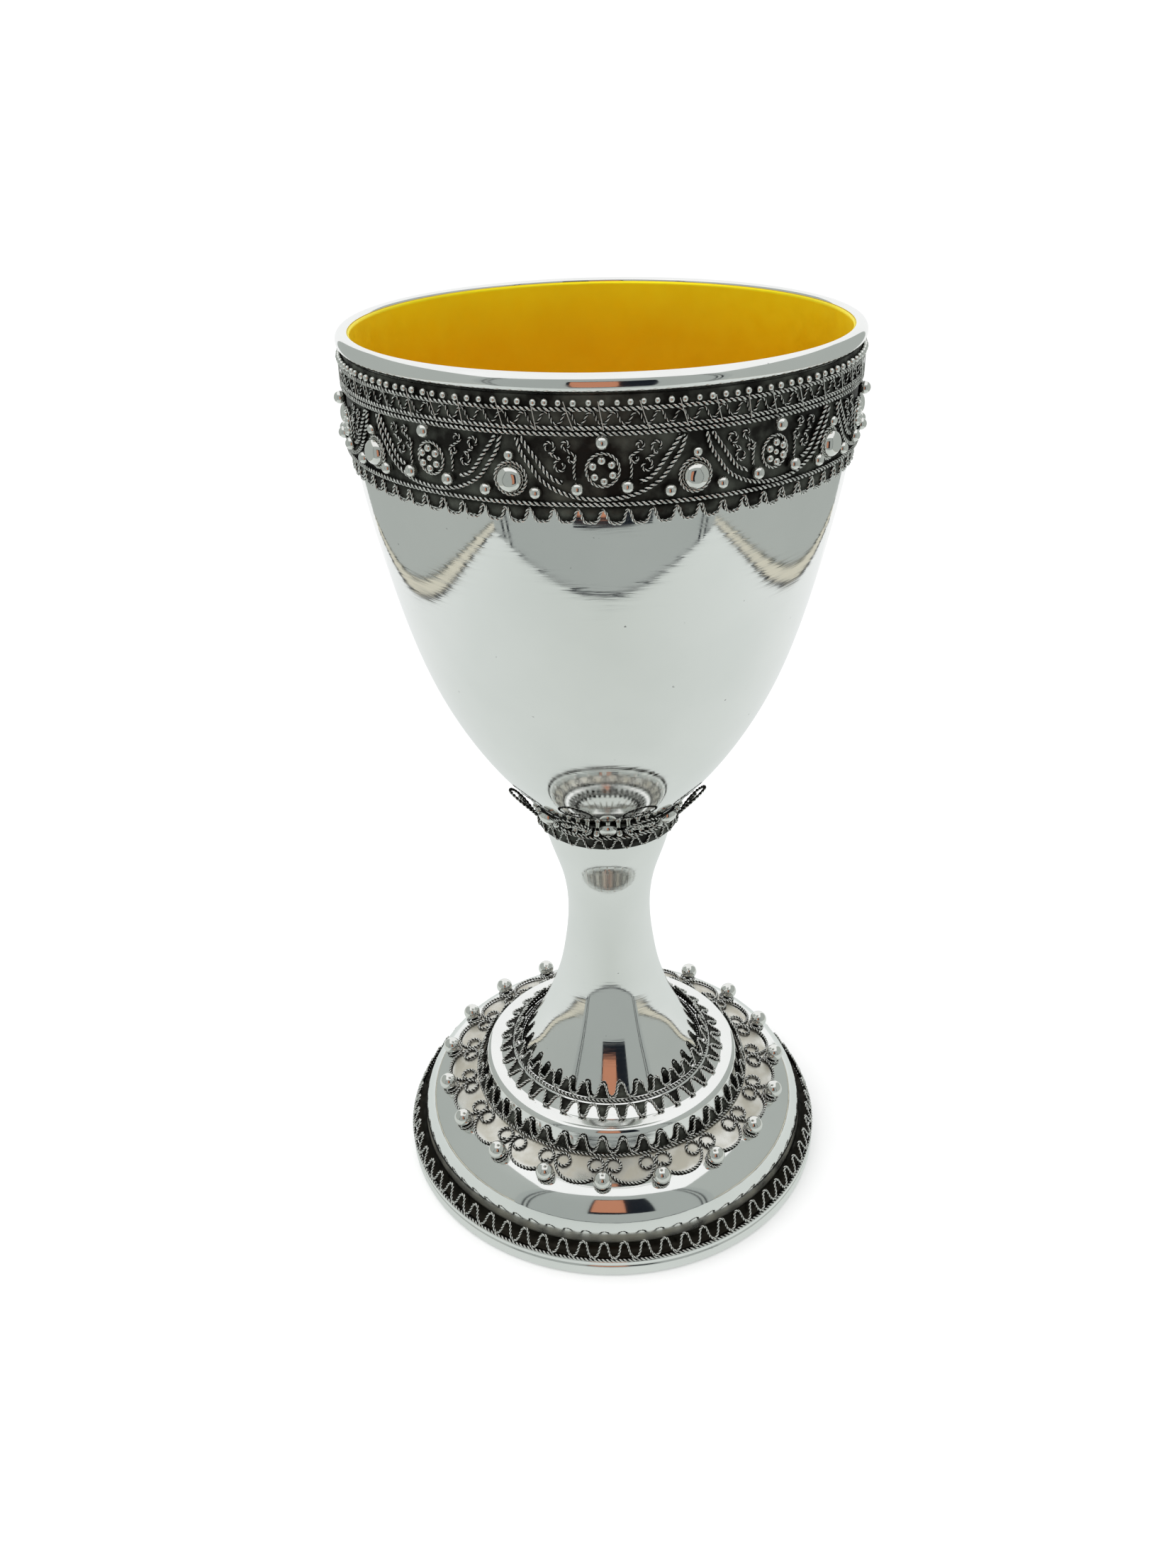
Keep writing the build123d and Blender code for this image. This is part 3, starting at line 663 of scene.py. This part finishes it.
def on_dome(path, azimuth, radius, lift):
    """Path of (distance round, distance up the slope) laid on the dome's slope and round its shoulder."""
    path = np.asarray(path, float)
    turn = math.radians(DOME_SLOPE)
    shoulder = dome_arc(DOME_SLOPE)
    up = path[:, 1] + (shoulder[0] - radius) / math.sin(turn)
    bend = turn + np.minimum(up, 0) / DOME_ARC_R
    radii = DOME_CENTRE[0] + (DOME_ARC_R + lift) * np.cos(bend) - np.maximum(up, 0) * math.sin(turn)
    heights = DOME_CENTRE[1] + (DOME_ARC_R + lift) * np.sin(bend) + np.maximum(up, 0) * math.cos(turn)
    azimuths = azimuth + np.degrees(path[:, 0] / radii)
    return polar(radii, azimuths, heights), polar(np.cos(bend) / MM, azimuths, np.sin(bend) / MM)


def ropes(name, lines, material, slot, nodes, **how):
    piece = make_mesh(name, *twisted(lines, **how))
    return finish_piece(piece, material, slot, *nodes)


def cord(name, node, radius, height, count=720, **how):
    """Rope that runs all round the object."""
    ropes(name, [ring_line(radius, height, count)], ROPE, "filigree_silver", [node], closed=True, **how)


def mirrored(path):
    return [(-across, height) for across, height in path]


def both_halves(half):
    """Symmetrical path from its right half, which starts on the middle line."""
    return mirrored(half)[:0:-1] + half


def wobble(amount):
    return (dice.random() * 2 - 1) * amount


ROPE_R = PLATE_R + 0.34
for level, height in (("top", 148.9), ("upper", 146.65), ("lower", 145.95), ("bottom", 137.2)):
    cord(f"rope_{level}", f"band_rope_{level}", ROPE_R, height)

# one loop of a gallery, as shares of its pitch and of its height
POINTED = [(0.0, 0.0), (0.14, 0.10), (0.31, 0.72), (0.40, 0.95),
           (0.5, 1.0), (0.60, 0.95), (0.69, 0.72), (0.86, 0.10)]
CUPPED = [(0.0, 0.14), (0.12, 0.42), (0.23, 0.88), (0.35, 1.0),
          (0.5, 1.0), (0.65, 1.0), (0.77, 0.88), (0.88, 0.42)]


def gallery_path(pitch, height, count, shape):
    """Zigzag wire of a whole gallery, as (distance round, distance from its foot), a little uneven."""
    knots = []
    for repeat in range(count):
        tall = 1 + wobble(0.05)
        shift = wobble(0.03)
        for across, up in shape:
            knots.append(((repeat + across + shift * up) * pitch, up * height * tall))
    knots.append((count * pitch, shape[0][1] * height))
    return spline(knots, 5)[:-1]


def gallery(name, node, radius, foot_z, height, count, slope=90.0, shape=POINTED, diameter=0.5,
            shade_sheet=True, wire=WIRE):
    """Wire bent into a row of loops that stand on a ring or hang from it, with, when asked, a black sheet
    behind them as painted shade.
    """
    pitch = 2 * math.pi * radius / count
    path = gallery_path(pitch, height, count, shape)
    scale = 360.0 / (count * pitch)
    rise = math.radians(slope)

    def laid(around, up, out):
        azimuths = FRONT + around * scale
        radii = radius + up * math.cos(rise) + out * math.sin(rise)
        heights = foot_z + up * math.sin(rise) - out * math.cos(rise)
        return polar(radii, azimuths, heights), polar(math.sin(rise) / MM, azimuths, -math.cos(rise) / MM)

    line = laid(path[:, 0], path[:, 1], diameter / 2)
    ropes(name, [line], wire, "filigree_silver", [node], closed=True, diameter=diameter, pitch=1.3, steps=9)
    if not shade_sheet:
        return
    # painted shade: a thin black sheet behind the loops, up to 0.86 of their height
    count_round = count * 14
    around = np.arange(count_round) * count * pitch / count_round
    top = np.interp(around, path[:, 0], path[:, 1]) * 0.86
    foot = np.zeros_like(top) - 0.02 * math.copysign(1, height)
    corners = ((foot, 0.02), (top, 0.02), (top, 0.16), (foot, 0.16))
    skin = [laid(around, edge, out)[0] for edge, out in corners]
    points = np.stack(skin, axis=1).reshape(-1, 3)
    quads = tube_faces(count_round, 4, 0, True)
    if height > 0:
        quads = quads[:, ::-1]
    finish_piece(make_mesh(name + "_web", points, quads), BLACK, "oxidised_silver")


gallery("wave", "band_wave", PLATE_R + 0.02, 147.05, 1.45, 84, diameter=0.38, shade_sheet=False, wire=ROPE)
gallery("fringe", "band_fringe", BAND_R, 136.75, -2.1, 74, shape=CUPPED, diameter=0.46)

# fine binding wires that cross the top rows of the band, a plain hair of silver each
hairs = []
for index in range(52):
    azimuth = FRONT + index * 360 / 52 + wobble(1.0)
    lean = 1.0 + wobble(0.5)
    path = spline([(0, 149.9), (lean * 0.35, 148.6), (lean, 146.4)], 8)
    hairs.append(on_cylinder(path, azimuth, PLATE_R + 0.62))
finish_piece(make_mesh("band_hairs", *plain_wire(hairs, 0.13)), WIRE, "filigree_silver")


def swag_azimuths(offset=0.0):
    return [FRONT + (offset + index) * SWAG_PITCH for index in range(SWAGS)]


half_swag = [(0, 137.86), (2.3, 138.0), (4.6, 138.55), (6.4, 139.4), (7.7, 140.4), (8.8, 141.9),
             (9.95, 143.6), (10.5, 145.45)]
outer_swag = both_halves(half_swag)
inner_swag = [(-9.9, 145.5), (-9.1, 144.3), (-7.9, 142.7), (-6.9, 141.3), (-5.8, 140.3), (-4.7, 139.95)]
outer_lines, inner_lines = [], []
for azimuth in swag_azimuths():
    turn = azimuth + wobble(0.3)
    outer_lines.append(on_cylinder(spline(outer_swag, 8), turn, ROPE_R))
    for arm in (inner_swag, mirrored(inner_swag)):
        inner_lines.append(on_cylinder(spline(arm, 8), turn + wobble(0.2), ROPE_R))
ropes("swag_outer", outer_lines, ROPE, "filigree_silver", ["swag_outer_ropes"])
ropes("swag_inner", inner_lines, ROPE, "filigree_silver", ["swag_inner_ropes"])


def curl(centre, radius, start, sweep, steps=14, shrink=0.55):
    """Spiral arc about a centre: start and sweep in degrees, its radius shrinking to the end."""
    share = np.linspace(0, 1, steps)
    angle = np.radians(start + sweep * share)
    reach = radius * (1 - (1 - shrink) * share)
    return [(centre[0] + r * math.cos(a), centre[1] + r * math.sin(a)) for r, a in zip(reach, angle)]


def s_scroll(low, high, radius, hand):
    """Two curls joined by a slanting stem."""
    first = curl(low, radius, 90, 330 * hand, shrink=0.5)[::-1]
    second = curl(high, radius * 0.95, -90, 330 * hand, shrink=0.5)
    return first + second


FILL_R = PLATE_R + 0.25
LARGE_S = ((-5.3, 141.9), (-6.7, 144.25), 0.85, 1)
SMALL_S = ((-3.9, 142.9), (-4.5, 144.55), 0.62, -1)
scroll_lines = []
for azimuth in swag_azimuths():
    for side in (-1, 1):
        for low, high, radius, hand in (LARGE_S, SMALL_S):
            path = spline(s_scroll(low, high, radius, hand), 2) * np.array([-side, 1])
            path += np.array([wobble(0.12), wobble(0.1)])
            scroll_lines.append(on_cylinder(path, azimuth, FILL_R))
        stalk = spline([(3.3 * side, 143.2), (3.55 * side, 141.6), (3.45 * side, 140.3)], 6)
        scroll_lines.append(on_cylinder(stalk, azimuth, FILL_R))
ropes("swag_fill", scroll_lines, ROPE, "filigree_silver", ["swag_scrolls"], diameter=0.44, pitch=1.2, steps=9)


def small_rings(name, node, azimuths, height, ring_r, diameter, centre_r):
    lines = []
    angle = np.linspace(0, 2 * math.pi, 48, endpoint=False)
    for azimuth in azimuths:
        path = np.stack([ring_r * np.cos(angle), height + ring_r * np.sin(angle)], axis=1)
        lines.append(on_cylinder(path, azimuth, centre_r))
    ropes(name, lines, WIRE, "filigree_silver", [node], diameter=diameter, pitch=1.25, steps=9, closed=True)


small_rings("rosette_wire", "rosette_rings", swag_azimuths(), ROSETTE_Z, 2.05, 0.48, PLATE_R + 0.27)
small_rings("boss_wire", "boss_collars", swag_azimuths(0.5), BOSS_Z, BOSS_R + 0.28, 0.48, PLATE_R + 0.27)


def balls(name, node, places, slot="bright_granules", **how):
    """Granules at (radius, azimuth, height, ball radius)."""
    spots = []
    for radius, azimuth, height, size in places:
        centre = polar(radius, azimuth, height)
        spots.append((centre, polar(1 / MM, azimuth, 0), size * MM))
    finish_piece(make_mesh(name, *ball_mesh(spots, **how)), BEAD, slot, node)


def shifted(azimuth, across):
    return azimuth + math.degrees(across / PLATE_R)


top_row = []
for index in range(TOP_GRANULES):
    azimuth = FRONT + (index + wobble(0.1)) * 360 / TOP_GRANULES
    top_row.append((PLATE_R + 0.46, azimuth, 149.72 + wobble(0.06), 0.44 + wobble(0.04)))
balls("top_beads", "band_top_granules", top_row, rows=9, columns=12)

rosette, swag_beads, boss_beads = [], [], []
for azimuth in swag_azimuths():
    turn = wobble(20)
    if azimuth != FRONT:
        rosette.append((PLATE_R + 0.42, azimuth, ROSETTE_Z, 0.42))
    for petal in range(6):
        angle = math.radians(30 + 60 * petal + turn * 0.4)
        rosette.append((PLATE_R + 0.5, shifted(azimuth, 1.27 * math.cos(angle) + wobble(0.05)),
                        ROSETTE_Z + 1.27 * math.sin(angle) + wobble(0.05), 0.53 + wobble(0.03)))
    swag_beads.append((PLATE_R + 1.15, azimuth + wobble(0.3), 145.1, 0.86))
    for side in (-1, 1):
        aside = shifted(azimuth, side * 3.1 + wobble(0.15))
        swag_beads.append((PLATE_R + 0.8, aside, 139.4 + wobble(0.12), 0.84))
for azimuth in swag_azimuths(0.5):
    boss_beads.append((PLATE_R + 0.62, azimuth + wobble(0.2), BOSS_Z + 3.0, 0.66))
    for side in (-1, 1):
        aside = shifted(azimuth, side * 3.35 + wobble(0.15))
        boss_beads.append((PLATE_R + 0.75, aside, BOSS_Z - 1.35 + wobble(0.15), 0.8))
balls("rosette_beads", "rosette_granules", rosette)
balls("swag_beads", "swag_granules", swag_beads, rows=14, columns=22)
balls("boss_beads", "boss_granules", boss_beads, rows=14, columns=22)


def domes(name, node, places, dome_r, dome_h, rows=10, columns=28):
    """Raised bosses: a domed button with a slightly flattened, dented top."""
    share = np.linspace(0, 1, rows + 1)
    profile_r = dome_r * np.sin(share * math.pi / 2) ** 0.9
    dent = 0.10 * np.exp(-(profile_r / (0.3 * dome_r)) ** 2)
    profile_h = dome_h * np.cos(share * math.pi / 2) ** 0.75 - dent
    profile_r[0] = 0.01
    turn = np.arange(columns) * 2 * math.pi / columns
    quads = wrapped_quads(rows + 1, columns)
    points, faces, painted_light = [], [], []
    for index, (foot, out) in enumerate(places):
        out = np.array(out, float) / np.linalg.norm(out)
        ring = rays_round(out, turn)
        body = profile_r[:, None, None] * ring[None] * MM + profile_h[:, None, None] * out[None, None] * MM
        points.append((body + np.array(foot)).reshape(-1, 3))
        faces.append(quads + index * (rows + 1) * columns)
        # painted light on the top of each dome, painted shade towards its foot
        painted_light.append(np.repeat(np.clip(profile_h / (0.22 * dome_h), 0, 1), columns))
    piece = make_mesh(name, np.vstack(points), np.vstack(faces), np.concatenate(painted_light))
    finish_piece(piece, BEAD, "bright_granules", node)


boss_places = [(polar(PLATE_R + 0.03, azimuth, BOSS_Z), polar(1 / MM, azimuth, 0))
               for azimuth in swag_azimuths(0.5)]
domes("bosses", "boss_domes", boss_places, 1.82, 1.75)

# ---- calyx -----------------------------------------------------------------------------------------
COLLAR_R = 12.15
gallery("calyx_wire", "calyx_gallery", COLLAR_R, 70.95, 1.7, 25, diameter=0.42)
cord("calyx_cord", "calyx_rope", COLLAR_R + 0.3, 73.05, count=300, diameter=0.55)
CALYX_GRANULES = 42
collar_row = [(12.6, FRONT + index * 360 / CALYX_GRANULES, 73.95 + wobble(0.05), 0.56)
              for index in range(CALYX_GRANULES)]
balls("calyx_beads", "calyx_granules", collar_row, rows=10, columns=14)

petal = both_halves([(0, 6.7), (1.3, 6.3), (2.7, 5.0), (3.0, 2.9), (1.9, 1.2), (0.35, 0.4)])
PETAL_FOOT_R = 12.5
PETAL_FOOT_Z = 74.2
PETAL_SLOPE = 50.0
petal_lines, curl_lines = [], []
for index in range(CALYX_REPEATS):
    azimuth = FRONT + (index + 0.5) * 360 / CALYX_REPEATS
    place = (azimuth, PETAL_FOOT_R, PETAL_FOOT_Z, PETAL_SLOPE)
    petal_lines.append(on_slope(spline(petal, 6), *place, lift=0.75))
    for side in (-1, 1):
        loop = curl((side * 1.15, 3.2), 1.0, 90 + side * 90, -side * 400, steps=22, shrink=0.45)
        curl_lines.append(on_slope(spline(loop, 2), *place, lift=0.65))
ropes("petals", petal_lines, ROPE, "filigree_silver", ["calyx_petals"], diameter=0.55)
ropes("petal_curls", curl_lines, WIRE, "filigree_silver", ["calyx_curls"], diameter=0.45, pitch=1.2, steps=9)

button_places = []
for index in range(CALYX_REPEATS):
    azimuth = FRONT + index * 360 / CALYX_REPEATS
    slope = math.radians(PETAL_SLOPE)
    outward = polar(math.sin(slope) / MM, azimuth, -math.cos(slope) / MM)
    button_places.append((polar(13.9, azimuth, 75.9), outward))
domes("buttons", "calyx_buttons", button_places, 1.5, 1.25)

# ---- borders of the foot ---------------------------------------------------------------------------
cord("stem_cord", "stem_rope", 18.45, STEM_BASE_Z + ROPE_LIFT)
gallery("stem_upper", "stem_gallery_upper", 18.15, STEM_BASE_Z + GALLERY_LIFT, 2.65, 32, slope=123)
gallery("stem_lower", "stem_gallery_lower", 19.0, 20.74, -2.5, 36, slope=145.5)

cord("step_cord", "step_rope", 25.75, STEP_Z + ROPE_LIFT)
gallery("step_wire", "step_gallery", 25.45, STEP_Z + GALLERY_LIFT, 2.55, 43, slope=111)

cord("edge_cord", "edge_rope", 39.05, FLANGE_Z + ROPE_LIFT)
gallery("edge_wire", "edge_gallery", 38.8, FLANGE_Z + GALLERY_LIFT, 2.8, 67, slope=115, shade_sheet=False)

c_scroll = both_halves([(0, -2.1), (2.3, -1.65), (3.75, -0.35), (4.3, 1.15), (4.0, 2.4), (3.05, 2.95),
                        (2.0, 2.5), (1.7, 1.5), (2.25, 0.65), (3.2, 0.45), (3.8, 0.95)])
SCROLL_R = 29.2
BALL_SEAT_R = 31.25
scrolls = []
for index in range(FOOT_SCROLLS):
    azimuth = FOOT_START + (index + 0.5) * 360 / FOOT_SCROLLS + wobble(0.3)
    scrolls.append(on_dome(spline(c_scroll, 6), azimuth, SCROLL_R, 0.32))
ropes("dome_scrolls", scrolls, ROPE, "filigree_silver", ["foot_scrolls"], diameter=0.56, pitch=1.3, steps=10)

ball_spots, ball_rings = [], []
ring_angle = np.linspace(0, 2 * math.pi, 40, endpoint=False)
ring_path = np.stack([1.42 * np.cos(ring_angle), 1.42 * np.sin(ring_angle)], axis=1)
for index in range(FOOT_SCROLLS):
    azimuth = FOOT_START + index * 360 / FOOT_SCROLLS + wobble(0.4)
    centre, out = on_dome([(0, 0)], azimuth, BALL_SEAT_R, 1.62)
    ball_spots.append((centre[0], out[0], 1.6 * MM))
    ball_rings.append(on_dome(ring_path, azimuth, BALL_SEAT_R, 0.26))
dome_balls = make_mesh("dome_balls", *ball_mesh(ball_spots, rows=20, columns=32))
finish_piece(dome_balls, BEAD, "bright_granules", "foot_balls")
ropes("ball_seats", ball_rings, WIRE, "filigree_silver", ["ball_collars"],
      diameter=0.44, pitch=1.2, steps=8, closed=True)

for node in ("tie_rod", "tie_washer", "tie_nut"):
    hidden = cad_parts[node]
    hidden.data.materials.clear()
    hidden.data.materials.append(BRASS)


# ---- camera, light and stage -----------------------------------------------------------------------
def make_camera():
    """Phone camera about a quarter of a metre away, a little above the rim, looking down."""
    pitch, roll, yaw = math.radians(29.43), math.radians(-1.32), math.radians(-0.97)
    ahead = Vector((math.sin(yaw) * math.cos(pitch), math.cos(yaw) * math.cos(pitch), -math.sin(pitch)))
    level = Vector((math.cos(yaw), -math.sin(yaw), 0))
    up = level.cross(ahead)
    right = level * math.cos(roll) + up * math.sin(roll)
    top = up * math.cos(roll) - level * math.sin(roll)
    data = bpy.data.cameras.new("camera")
    data.sensor_fit = "VERTICAL"
    data.sensor_height = 36.0
    data.lens = 30.11
    data.clip_start = 0.01
    camera = bpy.data.objects.new("camera", data)
    turn = Matrix((right, top, -ahead)).transposed().to_4x4()
    camera.matrix_world = Matrix.Translation((0, -0.1960, 0.1870)) @ turn
    bpy.context.scene.collection.objects.link(camera)
    bpy.context.scene.camera = camera


def plain_emitter(name, colour, strength=1.0):
    material = bpy.data.materials.new(name)
    material.use_nodes = True
    nodes = material.node_tree.nodes
    nodes.remove(nodes["Principled BSDF"])
    glow = nodes.new("ShaderNodeEmission")
    glow.inputs["Color"].default_value = (*colour, 1)
    glow.inputs["Strength"].default_value = strength
    material.node_tree.links.new(glow.outputs[0], nodes["Material Output"].inputs["Surface"])
    return material


def card(name, corners, material):
    """Flat card seen only in reflections: part of the light tent round the object."""
    mesh = bpy.data.meshes.new(name)
    points = [tuple(value * MM for value in corner) for corner in corners]
    mesh.from_pydata(points, [], [tuple(range(len(corners)))])
    piece = bpy.data.objects.new(name, mesh)
    piece.data.materials.append(material)
    bpy.context.scene.collection.objects.link(piece)
    piece.visible_camera = False
    piece.visible_diffuse = False
    piece.visible_shadow = False
    piece.visible_transmission = False


def upright(name, x0, x1, z0, z1, y, material):
    card(name, [(x0, y, z0), (x1, y, z0), (x1, y, z1), (x0, y, z1)], material)


def lengthwise(name, x, y0, y1, z0, z1, material):
    card(name, [(x, y0, z0), (x, y1, z0), (x, y1, z1), (x, y0, z1)], material)


def shaded_emitter(name, stops, centre, reach):
    """Emitter whose grey changes with distance from a point, the way a lit sheet falls off."""
    material = plain_emitter(name, (1, 1, 1))
    nodes, links = material.node_tree.nodes, material.node_tree.links
    place = nodes.new("ShaderNodeTexCoord")
    shift = nodes.new("ShaderNodeVectorMath")
    shift.operation = "SUBTRACT"
    shift.inputs[1].default_value = [value * MM for value in centre]
    length = nodes.new("ShaderNodeVectorMath")
    length.operation = "LENGTH"
    share = nodes.new("ShaderNodeMath")
    share.operation = "DIVIDE"
    share.inputs[1].default_value = reach * MM
    links.new(place.outputs["Object"], shift.inputs[0])
    links.new(shift.outputs["Vector"], length.inputs[0])
    links.new(length.outputs["Value"], share.inputs[0])
    colour = ramp(nodes, links, share.outputs[0], stops)
    links.new(colour, nodes["Emission"].inputs["Color"])
    return material


def make_tent():
    """Square light tent: white floor and roof, grey walls with taped seams, and the slit for the camera."""
    front, left, right, back, top = -165.0, -192.0, 198.0, 260.0, 330.0
    greys = [(0.0, (0.56, 0.60, 0.57)), (0.45, (0.66, 0.70, 0.68)), (1.0, (0.86, 0.88, 0.88))]
    floor = shaded_emitter("tent_floor", greys, (0, -150, 0), 420)
    roof = plain_emitter("tent_roof", (0.92, 0.93, 0.93))
    grey = plain_emitter("tent_grey", (0.36, 0.39, 0.375))
    side_grey = plain_emitter("tent_side", (0.40, 0.43, 0.41))
    dark = plain_emitter("tent_dark", (0.010, 0.013, 0.018))
    seam = plain_emitter("tent_seam", (0.03, 0.035, 0.03))
    trim = plain_emitter("tent_trim", (0.62, 0.60, 0.50))
    skin = plain_emitter("tent_warm", (0.50, 0.22, 0.13))
    for name, height, material in (("tent_floor", 0.02, floor), ("tent_roof", top, roof)):
        corners = [(-700, -700, height), (700, -700, height), (700, 700, height), (-700, 700, height)]
        card(name, corners, material)
    card("tent_back", [(left, back, 0), (right, back, 0), (right, back, top), (left, back, top)], roof)
    upright("tent_front", left, right, 0, top, front, grey)
    lengthwise("tent_left", left, front, back, 0, top, side_grey)
    lengthwise("tent_right", right, front, back, 0, top, side_grey)
    upright("tent_front_foot", left, right, 0, 3.0, front + 1, dark)
    for name, x, inward in (("left", left, 1), ("right", right, -1)):
        for number, (low, high, material) in enumerate(((0, 3, dark), (3, 11, trim), (11, 13, seam))):
            lengthwise(f"tent_{name}_foot_{number}", x + inward, front, back, low, high, material)
        for number, (near, far, material) in enumerate(((27, 33, dark), (33, 41, side_grey), (41, 46, dark))):
            seam_name = f"tent_{name}_seam_{number}"
            upright(seam_name, x + inward * near, x + inward * far, 0, top, front + 1.2, material)
    upright("tent_slit", -36, 60, 56, 215, front + 2, dark)
    upright("tent_hand", -32, 17, 68, 205, front + 3, skin)


def make_floor():
    mesh = bpy.data.meshes.new("floor")
    size = 3.0
    corners = [(-size, -size, 0), (size, -size, 0), (size, size, 0), (-size, size, 0)]
    mesh.from_pydata(corners, [], [(0, 1, 2, 3)])
    floor = bpy.data.objects.new("floor", mesh)
    material, *_, shader = node_material("floor_white")
    shader.inputs["Base Color"].default_value = (0.93, 0.93, 0.93, 1)
    shader.inputs["Roughness"].default_value = 0.7
    shader.inputs["Specular IOR Level"].default_value = 0.1
    floor.data.materials.append(material)
    bpy.context.scene.collection.objects.link(floor)
    floor.visible_glossy = False


def make_light():
    world = bpy.data.worlds.new("studio")
    world.use_nodes = True
    world.node_tree.nodes["Background"].inputs["Color"].default_value = (1, 1, 1, 1)
    world.node_tree.nodes["Background"].inputs["Strength"].default_value = 1.12
    bpy.context.scene.world = world
    data = bpy.data.lights.new("softbox", "AREA")
    data.energy = 1.2
    data.size = 0.5
    lamp = bpy.data.objects.new("softbox", data)
    lamp.location = (-0.15, -0.1, 0.6)
    lamp.rotation_euler = (Vector((0, 0, 0.08)) - lamp.location).to_track_quat("-Z", "Y").to_euler()
    bpy.context.scene.collection.objects.link(lamp)


make_camera()
make_tent()
make_floor()
make_light()
bpy.context.scene.view_settings.view_transform = "Standard"
